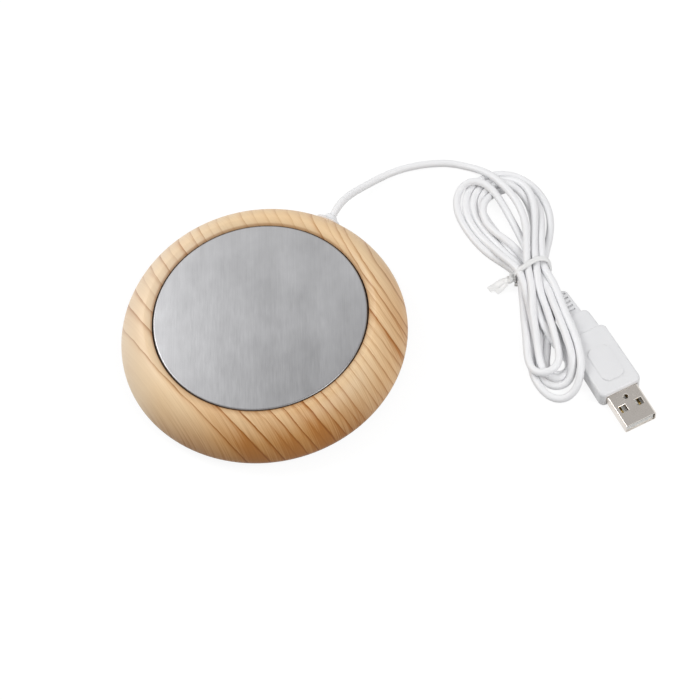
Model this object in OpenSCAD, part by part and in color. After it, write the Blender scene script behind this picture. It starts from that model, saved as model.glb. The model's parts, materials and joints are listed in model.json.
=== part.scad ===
// Electric mug warmer.
// A low domed ring holds a flush steel hot plate with an etched heating film pressed under it.
// A thin white cord leaves the ring through a grommet, is folded into a tied hank
// and ends in a flat USB plug.
// Millimetres. The origin is the bottom centre of the round body, on the table that it stands on.
// +Z is up and +Y points to the cord outlet.

/* [Body] */
// Outside diameter of the ring at its widest line
body_d = 104; // [96:1:116]
// Height of the ring's crest above the table
crest_h = 19.8; // [18.5:0.1:26]
// Distance of the crest circle inside the widest line
crest_in = 10.4; // [9:0.1:10.7]
// Height of the widest line of the ring
waist_h = 6; // [5.2:0.1:6.8]
// Fullness of the dome, where 2 is a quarter ellipse and less is flatter
dome_power = 1.6; // [1.4:0.05:2.2]
// Wall thickness of the ring housing
wall_t = 2.6; // [2:0.1:3]
// Height of the seam between the ring housing and the base
seam_h = 3.5; // [3:0.1:4.2]
// How far the base's edge stands back inside the seam
seam_step = 0.3; // [0:0.05:0.6]
// Width of the rounded lower edge, from the widest line in to the flat underside
lower_run = 5; // [4.5:0.5:6.5]

/* [Hot plate] */
// Width of the ring from its widest line in to the hot plate
ring_w = 13.5; // [13:0.1:17]
// Sheet thickness of the hot plate
plate_t = 0.8; // [0.5:0.1:1]
// Depth of the plate's rolled edge, top to bottom
pan_h = 3; // [2.6:0.1:3.6]
// Outside radius of the plate's rolled edge
pan_edge_r = 0.7; // [0.4:0.1:1]
// Depth of the plate's top below the crest
plate_drop = 1; // [0.6:0.1:1.6]
// Open gap around the plate
plate_gap = 0.45; // [0.35:0.05:0.7]
// Thickness of the sealing ring under the plate's edge
gasket_t = 0.8; // [0.5:0.1:1.2]
// Depth of the sealing ring's lip below the plate's top
gasket_drop = 0.9; // [0.8:0.1:1.4]
// Wall around the plate's well
well_wall = 2.2; // [1.8:0.1:2.6]
// Width of the ledge that carries the plate
ledge_w = 3.9; // [3:0.1:4.5]
// Thickness of that ledge
ledge_t = 2; // [1.6:0.1:2.4]

/* [Heater] */
// Thickness of each layer of the heating film
film_t = 0.2; // [0.15:0.05:0.25]
// Side clearance of the film and pad inside the ledge
stack_gap = 0.6; // [0.4:0.1:1]
// Number of turns of the etched track, always odd so that both ends meet
track_turns = 9; // [5:2:9]
// Width of the etched track
track_w = 1.6; // [1:0.1:1.8]
// Middle radius of the innermost turn
track_in_r = 8; // [8:0.5:10]
// Bare edge of the film outside the outermost turn
track_margin = 1.6; // [1.2:0.1:3]
// Half width of the lane where the turns end
lane_half = 6; // [5.6:0.1:6.4]
// Sideways place of the two solder tabs and of the return strip
tab_x = 3; // [2.8:0.1:3.4]
// Side of a solder tab
tab_w = 2.8; // [2.4:0.1:3]
// Thickness of a solder tab
tab_t = 0.7; // [0.5:0.1:1]
// Thickness of the insulation pad
pad_t = 3; // [2.2:0.1:3.6]
// Thickness of the retainer plate
retainer_t = 1.8; // [1.4:0.1:2.2]
// Side clearance of the retainer under the well
retainer_gap = 1.1; // [0.6:0.1:2]
// Width of the thermal cut-out
cutout_w = 4; // [3.4:0.1:4.4]
// Length of the thermal cut-out
cutout_l = 10; // [8:0.5:12]
// Height of the thermal cut-out
cutout_h = 2.4; // [1.8:0.1:2.8]

/* [Screws and bosses] */
// Distance of all housing screws inside the widest line
screw_in = 8.4; // [8.2:0.1:8.7]
// Radius of a screw's shank
screw_r = 1; // [0.8:0.05:1.1]
// Gap between a shank and its pilot hole
pilot_gap = 0.05; // [0.03:0.01:0.1]
// Gap between a shank and its through hole
pass_gap = 0.25; // [0.15:0.05:0.35]
// Radius of a screw's head
head_r = 2; // [1.8:0.05:2.1]
// Height of a screw's head
head_h = 0.9; // [0.7:0.1:1]
// Radius of a screw boss
boss_r = 2.6; // [2.3:0.1:2.8]
// Length of the base screws' shanks
cover_screw_l = 8; // [6:0.5:9]
// Length of the retainer screws' shanks
retainer_screw_l = 5; // [4:0.5:5]

/* [Base and feet] */
// Height of the base's underside above the table
foot_gap = 1.5; // [1.2:0.1:2]
// Height of the locating rim inside the seam
spigot_h = 2.2; // [1.6:0.1:2.6]
// Thickness of the locating rim
spigot_t = 1.6; // [1.2:0.1:2]
// Gap between the locating rim and the ring housing
spigot_gap = 0.25; // [0.15:0.05:0.4]
// Radius of a rubber foot
foot_r = 5; // [4:0.5:6.5]
// Distance of the feet's middles inside the widest line
foot_in = 19; // [17:0.5:28]
// Depth of a foot's recess in the base
foot_recess = 0.6; // [0.4:0.1:0.9]
// Gap round a foot in its recess
foot_clear = 0.15; // [0.1:0.05:0.3]
// Rounding of a foot's lower edge
foot_edge = 0.6; // [0.3:0.1:1]

/* [Cord and grommet] */
// Diameter of the cord
cord_d = 2.8; // [2.4:0.1:3.2]
// Height of the cord's outlet above the table
cord_z = 7.6; // [7.5:0.05:8]
// Gap round the cord in its grommet and clamp
cord_gap = 0.05; // [0.03:0.01:0.1]
// Depth of the grommet's seat cut into the ring
seat_depth = 1.2; // [1:0.1:1.4]
// Radius of the grommet's neck in the wall
neck_r = 3; // [2.6:0.1:3.2]
// Radius of the grommet's flanges
flange_r = 4; // [3.7:0.1:4.2]
// Width of the grommet's outer flange
flange_w = 10; // [9:0.1:10.6]
// Thickness of the grommet's flanges
flange_t = 1; // [0.8:0.1:1.3]
// Length of the grommet's outer cone
cone_l = 2.6; // [2:0.1:5]
// Radius of the small end of that cone
cone_r = 2.1; // [2:0.05:2.6]
// Gap round the grommet in the wall
grommet_gap = 0.1; // [0.05:0.05:0.2]
// Distance of the cord clamp's middle inside the widest line
clamp_in = 9.8; // [9.4:0.1:10]
// Length of the clamp along the cord
clamp_l = 4.6; // [4:0.1:5]
// Width of the clamp across the cord
clamp_w = 15; // [13:0.5:16]
// Thickness of the clamp's bar above the cord
clamp_t = 1; // [0.8:0.1:1.2]
// Open gap between the clamp's bar and its saddle
clamp_gap = 0.8; // [0.5:0.1:1]
// Distance of each clamp screw from the cord
clamp_screw_x = 5; // [4.6:0.1:5.2]
// Length of the clamp screws' shanks
clamp_screw_l = 5; // [4:0.5:5.5]
// Length of jacketed cord inside the body past its clamp
cord_past = 3.4; // [2:0.2:4]
// Radius of each inner wire over its insulation
wire_r = 0.6; // [0.5:0.05:0.65]

/* [Hank] */
// Height of the folded hank
hank_h = 9.2; // [7.5:0.1:10]
// Width of the hank where the tie grips it
waist_w = 11.8; // [10:0.1:12.4]
// Width of the tie's strip
tie_w = 2.6; // [2:0.1:3.2]
// Thickness of the tie's strip
tie_t = 0.9; // [0.6:0.1:1]
// Gap between the tie and the hank
tie_gap = 0.2; // [0.1:0.05:0.3]

/* [USB plug] */
// Width of the plug's metal shell
shell_w = 12; // [12:0.1:12]
// Height of the plug's metal shell
shell_h = 4.5; // [4.5:0.1:4.5]
// Sheet thickness of the shell
shell_t = 0.35; // [0.3:0.05:0.4]
// Length of shell that stands out of the grip
shell_out = 13.2; // [12:0.1:14]
// Length of shell held inside the grip
shell_in = 5.5; // [4:0.5:7]
// Side of a latch window in the shell
window_w = 2.7; // [2:0.1:2.8]
// Thickness of the contact carrier's tongue
tongue_t = 1.9; // [1.8:0.05:2]
// Width of a contact blade
contact_w = 1; // [0.9:0.05:1.1]
// Thickness of a contact blade
contact_t = 0.3; // [0.2:0.05:0.35]
// Width of the plug's grip
grip_w = 16.2; // [15.5:0.1:17]
// Thickness of the plug's grip
grip_h = 7.6; // [7.2:0.1:8.4]
// Length of the plug's grip
grip_l = 26.5; // [22:0.5:28]
// Rounding of the grip's edges
grip_edge = 1.1; // [0.8:0.1:1.4]
// Length of the raised thumb panel
panel_l = 14; // [11:0.5:15]
// Width of the raised thumb panel
panel_w = 8.4; // [7:0.1:10]
// Height of the thumb panel above the grip
panel_rise = 0.3; // [0.2:0.1:0.6]
// Distance of the thumb panel from the front of the grip
panel_front = 4.5; // [3.5:0.5:6]
// Width of the block behind the grip
block_w = 12.6; // [11:0.1:13.5]
// Length of the block behind the grip
block_l = 8.5; // [6:0.5:9]
// Width of the bend relief where it leaves the block
relief_w = 7.6; // [7:0.1:8.4]
// Width of the bend relief at its tail
relief_tail_w = 6.4; // [6:0.1:7]
// Thickness of the bend relief
relief_h = 5.4; // [5.2:0.1:5.8]
// Length of the bend relief
relief_l = 11; // [10:0.5:14]
// Number of slots along the bend relief
relief_slots = 5; // [3:1:6]

/* [Hidden] */
$fn = 96;
eps = 0.01;
body_r = body_d / 2;
crest_r = body_r - crest_in;
underside_r = body_r - lower_run;
plate_r = body_r - ring_w;
well_r = plate_r + plate_gap;
plate_z = crest_h - plate_drop;
ledge_z = plate_z - pan_h - gasket_t;
under_ledge_z = ledge_z - ledge_t;
ledge_r = well_r - ledge_w;
well_out_r = well_r + well_wall;
inner_r = body_r - wall_t;
chamfer_rise = 0.2;
dome_steps = 20;
edge_steps = 8;

// The layers under the plate, from the top down.
film_z = plate_z - plate_t - film_t;
track_z = film_z - film_t;
backing_z = track_z - film_t;
pad_z = backing_z - pad_t;
stack_r = ledge_r - stack_gap;
track_out_r = stack_r - track_margin;
track_pitch = (track_out_r - track_in_r) / (track_turns - 1);
lane_x = lane_half + track_w / 2;
tab_in = 1.6;
tab_y = track_out_r - tab_in;
tab_z = track_z - tab_t;
tab_clear = 0.5;
notch_half = lane_half + 1;
notch_y = tab_y - 4.4;
cutout_x = -notch_half;
cutout_y = notch_y - cutout_l;
cutout_z = backing_z - cutout_h / 2;
cutout_clear = 0.4;
leg_x = 1.2;
retainer_r = well_out_r - retainer_gap;
window_x = -notch_half - cutout_w / 2 - 1;
window_y = tab_y - 7;
window_l = 10;
ear_w = 2 * boss_r + 1;
screw_ring_r = body_r - screw_in;
foot_ring_r = body_r - foot_in;
retainer_turns = [0, 120, 240];
cover_turns = [45, 135, 225, 315];
foot_turns = [0, 90, 180, 270];
pilot_r = screw_r + pilot_gap;
pass_r = screw_r + pass_gap;
sink_r = head_r + 0.3;
sink_h = head_h + 0.1;
drive_w = 0.5;
pilot_over = 0.6;

// The outlet of the cord, along +Y.
seat_y = body_r - seat_depth;
cord_r = cord_d / 2;
clamp_y = body_r - clamp_in;
grommet_in_y = inner_r - 0.2 - flange_t;
grommet_out_y = seat_y + flange_t + cone_l;
cord_in_y = clamp_y - clamp_l / 2 - cord_past;
saddle_z = cord_z - clamp_gap / 2;
bar_z = cord_z + clamp_gap / 2;
bar_top_z = cord_z + cord_r + clamp_t;

// The hank, from its upper lobe to its lower one. The cord and plug keep their place from the outlet.
lobe_at = [57, grommet_out_y + 29.6];
lobe_r = 19.5;
waist_at = [77.5, grommet_out_y + 8.6];
bend_at = [92, grommet_out_y - 15.4];
bend_r = 6;
foot_lobe_at = [104, grommet_out_y - 29.4];
foot_lobe_r = 7.2;
hank_turn = -49;
core_lift = 1.3;
lead_end = [42, grommet_out_y + 44.1];
lead_end_turn = -3;
lead_end_run = 5.5;

// The plug lies flat. Its own frame starts at the front of the grip and runs to the tip.
plug_at = [125.9, grommet_out_y - 23.6];
plug_turn = -37.3;
plug_z = grip_h / 2;
shell_bottom = plug_z - shell_h / 2;
shell_corner_r = 0.7;
tail_l = 4;
plug_air = 0.5;
contact_at = [-3.5, -1, 1, 3.5];
contact_short = [0, 1, 1, 0];
window_side = 3.1;
latch_x = 2.7;
latch_r = 0.9;
relief_pitch = relief_l / (relief_slots + 1);
relief_cut = 0.7;

// Centre line of the free lead, from the grommet to the hank.
lead_points = [
    [0, grommet_out_y, cord_z],
    [0, grommet_out_y + 4, cord_z - 0.1],
    [0.1, grommet_out_y + 8, 6.7],
    [0.6, grommet_out_y + 12, 5.4],
    [1.7, grommet_out_y + 16.2, 4],
    [3.5, grommet_out_y + 20.6, 2.8],
    [6, grommet_out_y + 25.6, 1.9],
    [9.5, grommet_out_y + 30.6, 1.6],
    [13.8, grommet_out_y + 35, 1.5],
    [18.6, grommet_out_y + 38.6, 1.5],
    [22.5, grommet_out_y + 40.9, 1.5],
    [26.6, grommet_out_y + 42.8, 1.5],
    [31.4, grommet_out_y + 44.1, 1.5],
    [lead_end.x - lead_end_run * cos(lead_end_turn), lead_end.y - lead_end_run * sin(lead_end_turn), 1.5],
    [lead_end.x, lead_end.y, 1.5]
];
wire_seat = 0.05;
wire_y = cord_in_y - wire_seat;
black_wire_points = [
    [0.7, wire_y, cord_z],
    [0.9, wire_y - 1.6, cord_z + 0.1],
    [1.8, wire_y - 3.4, cord_z + 1.2],
    [2.7, tab_y + 0.6, cord_z + 3.2],
    [tab_x, tab_y, cord_z + 5.4],
    [tab_x, tab_y, tab_z - wire_seat]
];
red_wire_points = [
    [-0.7, wire_y, cord_z],
    [-0.9, wire_y - 1.6, cord_z + 0.1],
    [-2, wire_y - 3.8, cord_z + 1],
    [-4, wire_y - 6.4, cord_z + 3],
    [cutout_x - leg_x + 0.6, notch_y + 3.2, cutout_z - 2.6],
    [cutout_x - leg_x, notch_y + 1.6, cutout_z - 0.3],
    [cutout_x - leg_x, notch_y + wire_seat, cutout_z]
];
link_wire_points = [
    [cutout_x + leg_x, notch_y + wire_seat, cutout_z],
    [cutout_x + leg_x, notch_y + 1.2, cutout_z - 0.2],
    [cutout_x + leg_x + 1, notch_y + 2.8, cutout_z - 1],
    [-tab_x - 0.5, tab_y - 0.5, cutout_z - 1],
    [-tab_x, tab_y, cutout_z - 0.2],
    [-tab_x, tab_y, tab_z - wire_seat]
];

// ---- Outlines ----

// Points of a dome from its crest (r0, z1) out to its widest line (r1, z0).
function dome(r0, r1, z0, z1) = [
    for (i = [0 : dome_steps])
        let (a = 90 * i / dome_steps)
        [r0 + (r1 - r0) * pow(sin(a), 2 / dome_power), z0 + (z1 - z0) * pow(cos(a), 2 / dome_power)]
];

// Height of the ring's outer dome at radius r.
function dome_top(r) =
    waist_h + (crest_h - waist_h)
    * pow(1 - pow((r - crest_r) / (body_r - crest_r), dome_power), 1 / dome_power);

// Radius of the rounded lower edge at height z.
function lower_edge(z) =
    underside_r + (body_r - underside_r) * sqrt(1 - pow((waist_h - z) / (waist_h - foot_gap), 2));

// Points of the rounded lower edge from height z0 up to z1, drawn in by step.
function lower_points(z0, z1, step) = [
    for (i = [0 : edge_steps])
        let (z = z0 + (z1 - z0) * i / edge_steps)
        [lower_edge(z) - step, z]
];

function reversed(list) = [for (i = [len(list) - 1 : -1 : 0]) list[i]];

// A rounded rectangle about its own middle.
module round_rect(w, h, r) {
    square([w - 2 * r, h], center = true);
    square([w, h - 2 * r], center = true);
    for (x = [-1, 1], y = [-1, 1])
        translate([x * (w / 2 - r), y * (h / 2 - r)])
            circle(r, $fn = 32);
}

// ---- Swept tubes ----

function unit(v) = v / norm(v);

// A smooth curve through the points p, with n steps between neighbours.
function curve_point(a, b, c, d, t) =
    0.5 * (2 * b + (c - a) * t + (2 * a - 5 * b + 4 * c - d) * t * t
    + (3 * b - a - 3 * c + d) * t * t * t);
function smooth_path(p, n) = [
    for (i = [0 : len(p) - 2], k = [0 : n - 1])
        curve_point(p[max(i - 1, 0)], p[i], p[i + 1], p[min(i + 2, len(p) - 1)], k / n),
    p[len(p) - 1]
];
function heading(p, i) = unit(p[min(i + 1, len(p) - 1)] - p[max(i - 1, 0)]);

// One closed tube of radius r along the points p. flat_to is a direction it never runs along.
module tube(p, r, flat_to) {
    sides = 8;
    last = len(p) - 1;
    rings = [
        for (i = [0 : last])
            let (t = heading(p, i), s = unit(cross(t, flat_to)), u = cross(s, t))
            for (k = [0 : sides - 1])
                p[i] + r * (s * cos(k * 360 / sides) + u * sin(k * 360 / sides))
    ];
    walls = [
        for (i = [0 : last - 1], k = [0 : sides - 1])
            let (a = i * sides + k, b = i * sides + (k + 1) % sides)
            [a, a + sides, b + sides, b]
    ];
    start_cap = [for (k = [0 : sides - 1]) k];
    end_cap = [for (k = [sides - 1 : -1 : 0]) last * sides + k];
    polyhedron(rings, concat(walls, [start_cap], [end_cap]));
}

// ---- Screws ----

// A pan-head screw standing on its tip's axis: the head's seat is at z = 0 and the shank runs up.
module screw_up(shank_l) {
    difference() {
        union() {
            translate([0, 0, -head_h])
                cylinder(r = head_r, h = head_h);
            cylinder(r = screw_r, h = shank_l);
        }
        for (a = [0, 90])
            rotate(a)
                translate([0, 0, -head_h])
                    cube([2.4, drive_w, 2 * drive_w], center = true);
    }
}

// Copies of the children on a circle of radius r, at the given turns.
module at_turns(turns, r) {
    for (a = turns)
        rotate(a)
            translate([r, 0, 0])
                children();
}

// ---- Round body ----

module ring_outline() {
    inner_dome = dome(well_out_r, inner_r, waist_h, crest_h - wall_t);
    polygon(concat(
        lower_points(seam_h, waist_h, 0),
        reversed(dome(crest_r, body_r, waist_h, crest_h)),
        [[well_r, plate_z + chamfer_rise], [well_r, ledge_z]],
        [[ledge_r, ledge_z], [ledge_r, under_ledge_z], [well_out_r, under_ledge_z]],
        inner_dome,
        [[inner_r, seam_h]]
    ));
}

// A screw boss that hangs from the dome down to height z, buried in the wall above.
module hanging_boss(z, screw_top) {
    top = dome_top(screw_ring_r + boss_r) - 1;
    difference() {
        translate([0, 0, z])
            cylinder(r = boss_r, h = top - z);
        translate([0, 0, z - eps])
            cylinder(r = pilot_r, h = screw_top + pilot_over - z + eps);
    }
}

module ring_housing() {
    retainer_tip = under_ledge_z - retainer_t + retainer_screw_l;
    cover_tip = foot_gap + sink_h + cover_screw_l;
    color("burlywood") {
        difference() {
            rotate_extrude()
                ring_outline();
            // Flat seats for the grommet outside and inside the wall, and the hole between them.
            translate([0, seat_y, cord_z])
                rotate([-90, 0, 0])
                    linear_extrude(2 * seat_depth)
                        flange_plan(grommet_gap);
            translate([0, grommet_in_y - 2, cord_z])
                rotate([-90, 0, 0])
                    cylinder(r = flange_r + grommet_gap, h = 2 + flange_t);
            translate([0, inner_r - 3, cord_z])
                rotate([-90, 0, 0])
                    cylinder(r = neck_r + grommet_gap, h = 6);
            // Pilot holes run on into the dome.
            at_turns(retainer_turns, screw_ring_r)
                translate([0, 0, under_ledge_z])
                    cylinder(r = pilot_r, h = retainer_tip + pilot_over - under_ledge_z);
        }
        at_turns(retainer_turns, screw_ring_r)
            hanging_boss(under_ledge_z, retainer_tip);
        at_turns(cover_turns, screw_ring_r)
            hanging_boss(seam_h, cover_tip);
    }
}

module base_cover() {
    spigot_out = inner_r - spigot_gap;
    color("dimgray")
        difference() {
            union() {
                rotate_extrude()
                    polygon(concat(
                        [[0, foot_gap]],
                        lower_points(foot_gap, seam_h, seam_step),
                        [[spigot_out, seam_h], [spigot_out, seam_h + spigot_h]],
                        [[spigot_out - spigot_t, seam_h + spigot_h]],
                        [[spigot_out - spigot_t, seam_h], [0, seam_h]]
                    ));
                // Saddle for the cord, level with the clamp.
                translate([-clamp_w / 2, clamp_y - clamp_l / 2, seam_h - eps])
                    cube([clamp_w, clamp_l, saddle_z - seam_h + eps]);
            }
            // The locating rim stops on each side of the grommet.
            translate([-flange_r - 1, inner_r - spigot_t - 2, seam_h])
                cube([2 * flange_r + 2, spigot_t + 2, spigot_h + 1]);
            translate([0, clamp_y - clamp_l, cord_z])
                rotate([-90, 0, 0])
                    cylinder(r = cord_r + cord_gap, h = 2 * clamp_l);
            for (x = [-clamp_screw_x, clamp_screw_x])
                translate([x, clamp_y, bar_top_z - clamp_screw_l - pilot_over])
                    cylinder(r = pilot_r, h = clamp_screw_l);
            at_turns(cover_turns, screw_ring_r) {
                translate([0, 0, foot_gap - eps])
                    cylinder(r = pass_r, h = seam_h);
                translate([0, 0, foot_gap - eps])
                    cylinder(r = sink_r, h = sink_h + eps);
            }
            at_turns(foot_turns, foot_ring_r)
                translate([0, 0, foot_gap - eps])
                    cylinder(r = foot_r + foot_clear, h = foot_recess + eps);
        }
}

module cover_screws() {
    color("silver")
        at_turns(cover_turns, screw_ring_r)
            translate([0, 0, foot_gap + sink_h])
                screw_up(cover_screw_l);
}

module foot(i) {
    color("black")
        rotate(foot_turns[i - 1])
            translate([foot_ring_r, 0, 0])
                rotate_extrude()
                    polygon([
                        [0, 0], [foot_r - foot_edge, 0], [foot_r - foot_edge / 4, foot_edge / 4],
                        [foot_r, foot_edge], [foot_r, foot_gap + foot_recess], [0, foot_gap + foot_recess]
                    ]);
}

// ---- Hot plate and heater ----

module hot_plate() {
    in_r = plate_r - plate_t;
    color("lightgray")
        rotate_extrude()
            polygon(concat(
                [[0, plate_z - plate_t], [0, plate_z]],
                [for (a = [90 : -15 : 0])
                    [plate_r - pan_edge_r + pan_edge_r * cos(a), plate_z - pan_edge_r + pan_edge_r * sin(a)]],
                [[plate_r, plate_z - pan_h], [in_r, plate_z - pan_h], [in_r, plate_z - plate_t]]
            ));
}

module plate_gasket() {
    side = 0.05;
    color("black")
        rotate_extrude()
            polygon([
                [ledge_r + side, ledge_z], [well_r - side, ledge_z], [well_r - side, plate_z - gasket_drop],
                [plate_r + side, plate_z - gasket_drop], [plate_r + side, ledge_z + gasket_t],
                [ledge_r + side, ledge_z + gasket_t]
            ]);
}

module heater_film() {
    color("orange")
        translate([0, 0, film_z])
            cylinder(r = stack_r, h = film_t);
}

// End of turn k beside the lane, measured along Y.
function turn_y(k) = sqrt(pow(track_out_r - k * track_pitch, 2) - pow(lane_half, 2));

// One strip of track from y0 to y1 between x0 and x1.
module strip(x0, x1, y0, y1) {
    translate([min(x0, x1), min(y0, y1)])
        square([abs(x1 - x0), abs(y1 - y0)]);
}

module heater_track() {
    half = track_w / 2;
    last = track_turns - 1;
    color("goldenrod")
        translate([0, 0, track_z])
            linear_extrude(film_t) {
                // The turns, open along the lane.
                difference() {
                    for (k = [0 : last])
                        difference() {
                            circle(track_out_r - k * track_pitch + half);
                            circle(track_out_r - k * track_pitch - half);
                        }
                    strip(-lane_half, lane_half, 0, body_r);
                }
                // Each turn passes on to the next, right and left in turn.
                for (k = [0 : last - 1])
                    translate([(k % 2 == 0 ? 1 : -1) * lane_x, 0])
                        strip(-half, half, turn_y(k + 1), turn_y(k));
                // Return strip from the innermost turn, and the two solder pads.
                strip(tab_x - half, lane_x, turn_y(last) - half, turn_y(last) + half);
                strip(tab_x - half, tab_x + half, turn_y(last) - half, tab_y);
                strip(tab_x - tab_w / 2, tab_x + tab_w / 2, tab_y - tab_w / 2, tab_y + tab_w / 2);
                strip(-tab_x - tab_w / 2, -tab_x + tab_w / 2, tab_y - tab_w / 2, tab_y + tab_w / 2);
                strip(-lane_x, -tab_x, tab_y - half, tab_y + half);
            }
}

module heater_backing() {
    hole_w = tab_w + 2 * tab_clear;
    color("darkorange")
        translate([0, 0, backing_z])
            linear_extrude(film_t)
                difference() {
                    circle(stack_r);
                    for (x = [-tab_x, tab_x])
                        translate([x, tab_y])
                            square(hole_w, center = true);
                }
}

module solder_tabs() {
    color("silver")
        for (x = [-tab_x, tab_x])
            translate([x - tab_w / 2, tab_y - tab_w / 2, tab_z])
                cube([tab_w, tab_w, tab_t]);
}

module thermal_cutout() {
    color("white")
        translate([cutout_x, cutout_y, cutout_z])
            rotate([-90, 0, 0])
                linear_extrude(cutout_l)
                    round_rect(cutout_w, cutout_h, 0.6);
}

// Shape that the pad leaves open for the tabs, the wires and the cut-out.
module wiring_notch() {
    translate([-notch_half, notch_y])
        square([2 * notch_half, body_r]);
    translate([cutout_x - cutout_w / 2 - cutout_clear, cutout_y - cutout_clear])
        square([cutout_w + 2 * cutout_clear, body_r]);
}

module insulation_pad() {
    color("ivory")
        translate([0, 0, pad_z])
            linear_extrude(pad_t)
                difference() {
                    circle(stack_r);
                    wiring_notch();
                }
}

module heater_retainer() {
    bottom_z = under_ledge_z - retainer_t;
    tall = pad_z - bottom_z + 2;
    rib_n = 6;
    vent_at = 12;
    vent_l = 13;
    vent_w = 4;
    color("tan")
        difference() {
            union() {
                translate([0, 0, bottom_z])
                    cylinder(r = retainer_r, h = retainer_t);
                translate([0, 0, under_ledge_z - eps])
                    cylinder(r = stack_r - 0.2, h = pad_z - under_ledge_z + eps);
                // Ears that reach out to the bosses.
                for (a = retainer_turns)
                    rotate(a) {
                        translate([retainer_r - ear_w, -ear_w / 2, bottom_z])
                            cube([screw_ring_r - retainer_r + ear_w, ear_w, retainer_t]);
                        translate([screw_ring_r, 0, bottom_z])
                            cylinder(r = ear_w / 2, h = retainer_t);
                    }
            }
            at_turns(retainer_turns, screw_ring_r)
                translate([0, 0, bottom_z - eps])
                    cylinder(r = pass_r, h = retainer_t + 1);
            // Window for the wires.
            translate([window_x, window_y, bottom_z - 1])
                cube([notch_half - window_x, window_l, tall]);
            // Vent slots between the ribs, which let the pad breathe.
            for (k = [0 : rib_n - 1])
                rotate(k * 360 / rib_n + 30)
                    if (k != 1)
                        translate([vent_at, -vent_w / 2, bottom_z - 1])
                            cube([vent_l, vent_w, tall]);
        }
}

module retainer_screws() {
    color("silver")
        at_turns(retainer_turns, screw_ring_r)
            translate([0, 0, under_ledge_z - retainer_t])
                screw_up(retainer_screw_l);
}

module inner_wire(points, tint) {
    color(tint)
        tube(smooth_path(points, 4), wire_r, [1, 0, 0]);
}

// ---- Cord outlet ----

module cord_end() {
    color("white")
        translate([0, cord_in_y, cord_z])
            rotate([-90, 0, 0])
                cylinder(r = cord_r, h = grommet_out_y - cord_in_y, $fn = 32);
}

module cord_clamp() {
    color("white")
        difference() {
            translate([-clamp_w / 2, clamp_y - clamp_l / 2, bar_z])
                cube([clamp_w, clamp_l, bar_top_z - bar_z]);
            translate([0, clamp_y - clamp_l, cord_z])
                rotate([-90, 0, 0])
                    cylinder(r = cord_r + cord_gap, h = 2 * clamp_l);
            for (x = [-clamp_screw_x, clamp_screw_x])
                translate([x, clamp_y, bar_z - 1])
                    cylinder(r = pass_r, h = 10);
        }
}

module clamp_screws() {
    color("silver")
        for (x = [-clamp_screw_x, clamp_screw_x])
            translate([x, clamp_y, bar_top_z])
                rotate([180, 0, 0])
                    screw_up(clamp_screw_l);
}

// Outline of the grommet's outer flange, made larger by gap.
module flange_plan(gap) {
    round_rect(flange_w + 2 * gap, 2 * (flange_r + gap), flange_r + gap - 0.4);
}

// Inner flange, neck and cone revolved about the cord, with its bore. The outer flange is a wider plate.
module grommet() {
    bore_r = cord_r + cord_gap;
    neck_0 = grommet_in_y + flange_t;
    flange_top = seat_y + flange_t;
    edge = flange_t * 0.3;
    color("whitesmoke")
        translate([0, 0, cord_z])
            rotate([-90, 0, 0]) {
                rotate_extrude()
                    polygon([
                        [bore_r, grommet_in_y], [flange_r, grommet_in_y],
                        [flange_r, neck_0], [neck_r, neck_0], [neck_r, flange_top],
                        [cone_r + 0.4, grommet_out_y - 0.6], [cone_r, grommet_out_y], [bore_r, grommet_out_y]
                    ]);
                // Outer flange, drawn in along its face.
                translate([0, 0, seat_y])
                    difference() {
                        union() {
                            linear_extrude(flange_t - edge)
                                flange_plan(0);
                            linear_extrude(flange_t)
                                flange_plan(-edge);
                        }
                        translate([0, 0, -1])
                            cylinder(r = (bore_r + neck_r) / 2, h = flange_t + 2);
                    }
            }
}

// ---- Free cord ----

module cord_lead() {
    color("white")
        tube(lead_points, cord_r, [0, 0, 1]);
}

// Places the children in the plug's own frame.
module plug_frame() {
    translate([plug_at.x, plug_at.y, 0])
        rotate(plug_turn)
            children();
}

// Flat outline of the plug and the cord's tail with some air round them.
module plug_shadow() {
    block_x = -grip_l - block_l;
    plug_frame() {
        translate([-grip_l - plug_air, -grip_w / 2 - plug_air])
            square([grip_l + 2 * plug_air, grip_w + 2 * plug_air]);
        translate([block_x - plug_air, -block_w / 2 - plug_air])
            square([block_l + 1, block_w + 2 * plug_air]);
        translate([block_x - relief_l - plug_air, -relief_w / 2 - plug_air])
            square([relief_l + 1, relief_w + 2 * plug_air]);
        translate([block_x - relief_l - tail_l, -cord_r - plug_air])
            square([tail_l + 1, cord_d + 2 * plug_air]);
    }
}

module hank_outline() {
    difference() {
        union() {
            hull() {
                translate(lobe_at)
                    circle(lobe_r, $fn = 48);
                translate(waist_at)
                    circle(waist_w / 2, $fn = 32);
            }
            hull() {
                translate(waist_at)
                    circle(waist_w / 2, $fn = 32);
                translate(bend_at)
                    circle(bend_r, $fn = 32);
            }
            hull() {
                translate(bend_at)
                    circle(bend_r, $fn = 32);
                translate(foot_lobe_at)
                    circle(foot_lobe_r, $fn = 32);
            }
            // Flat stub that the lead runs into.
            translate(lead_end)
                rotate(lead_end_turn)
                    translate([0, -2])
                        square([8, 4]);
        }
        plug_shadow();
    }
}

// Places the children at the tie, with X along the hank.
module tie_frame() {
    translate([waist_at.x, waist_at.y, core_lift])
        rotate(hank_turn)
            children();
}

// A strip wrapped round the waist, w wide, lying between two rounded rectangles.
module waist_band(w, inside, outside) {
    core_h = hank_h - core_lift - 0.6;
    translate([-w / 2, 0, core_h / 2])
        rotate([90, 0, 90])
            linear_extrude(w)
                difference() {
                    round_rect(waist_w + 2 * outside, core_h + 2 * outside, 2 + outside);
                    round_rect(waist_w + 2 * inside, core_h + 2 * inside, 2 + inside);
                }
}

module cord_hank() {
    color("white")
        difference() {
            linear_extrude(hank_h)
                hank_outline();
            tie_frame()
                waist_band(tie_w + 0.6, 0, 12);
        }
}

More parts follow.
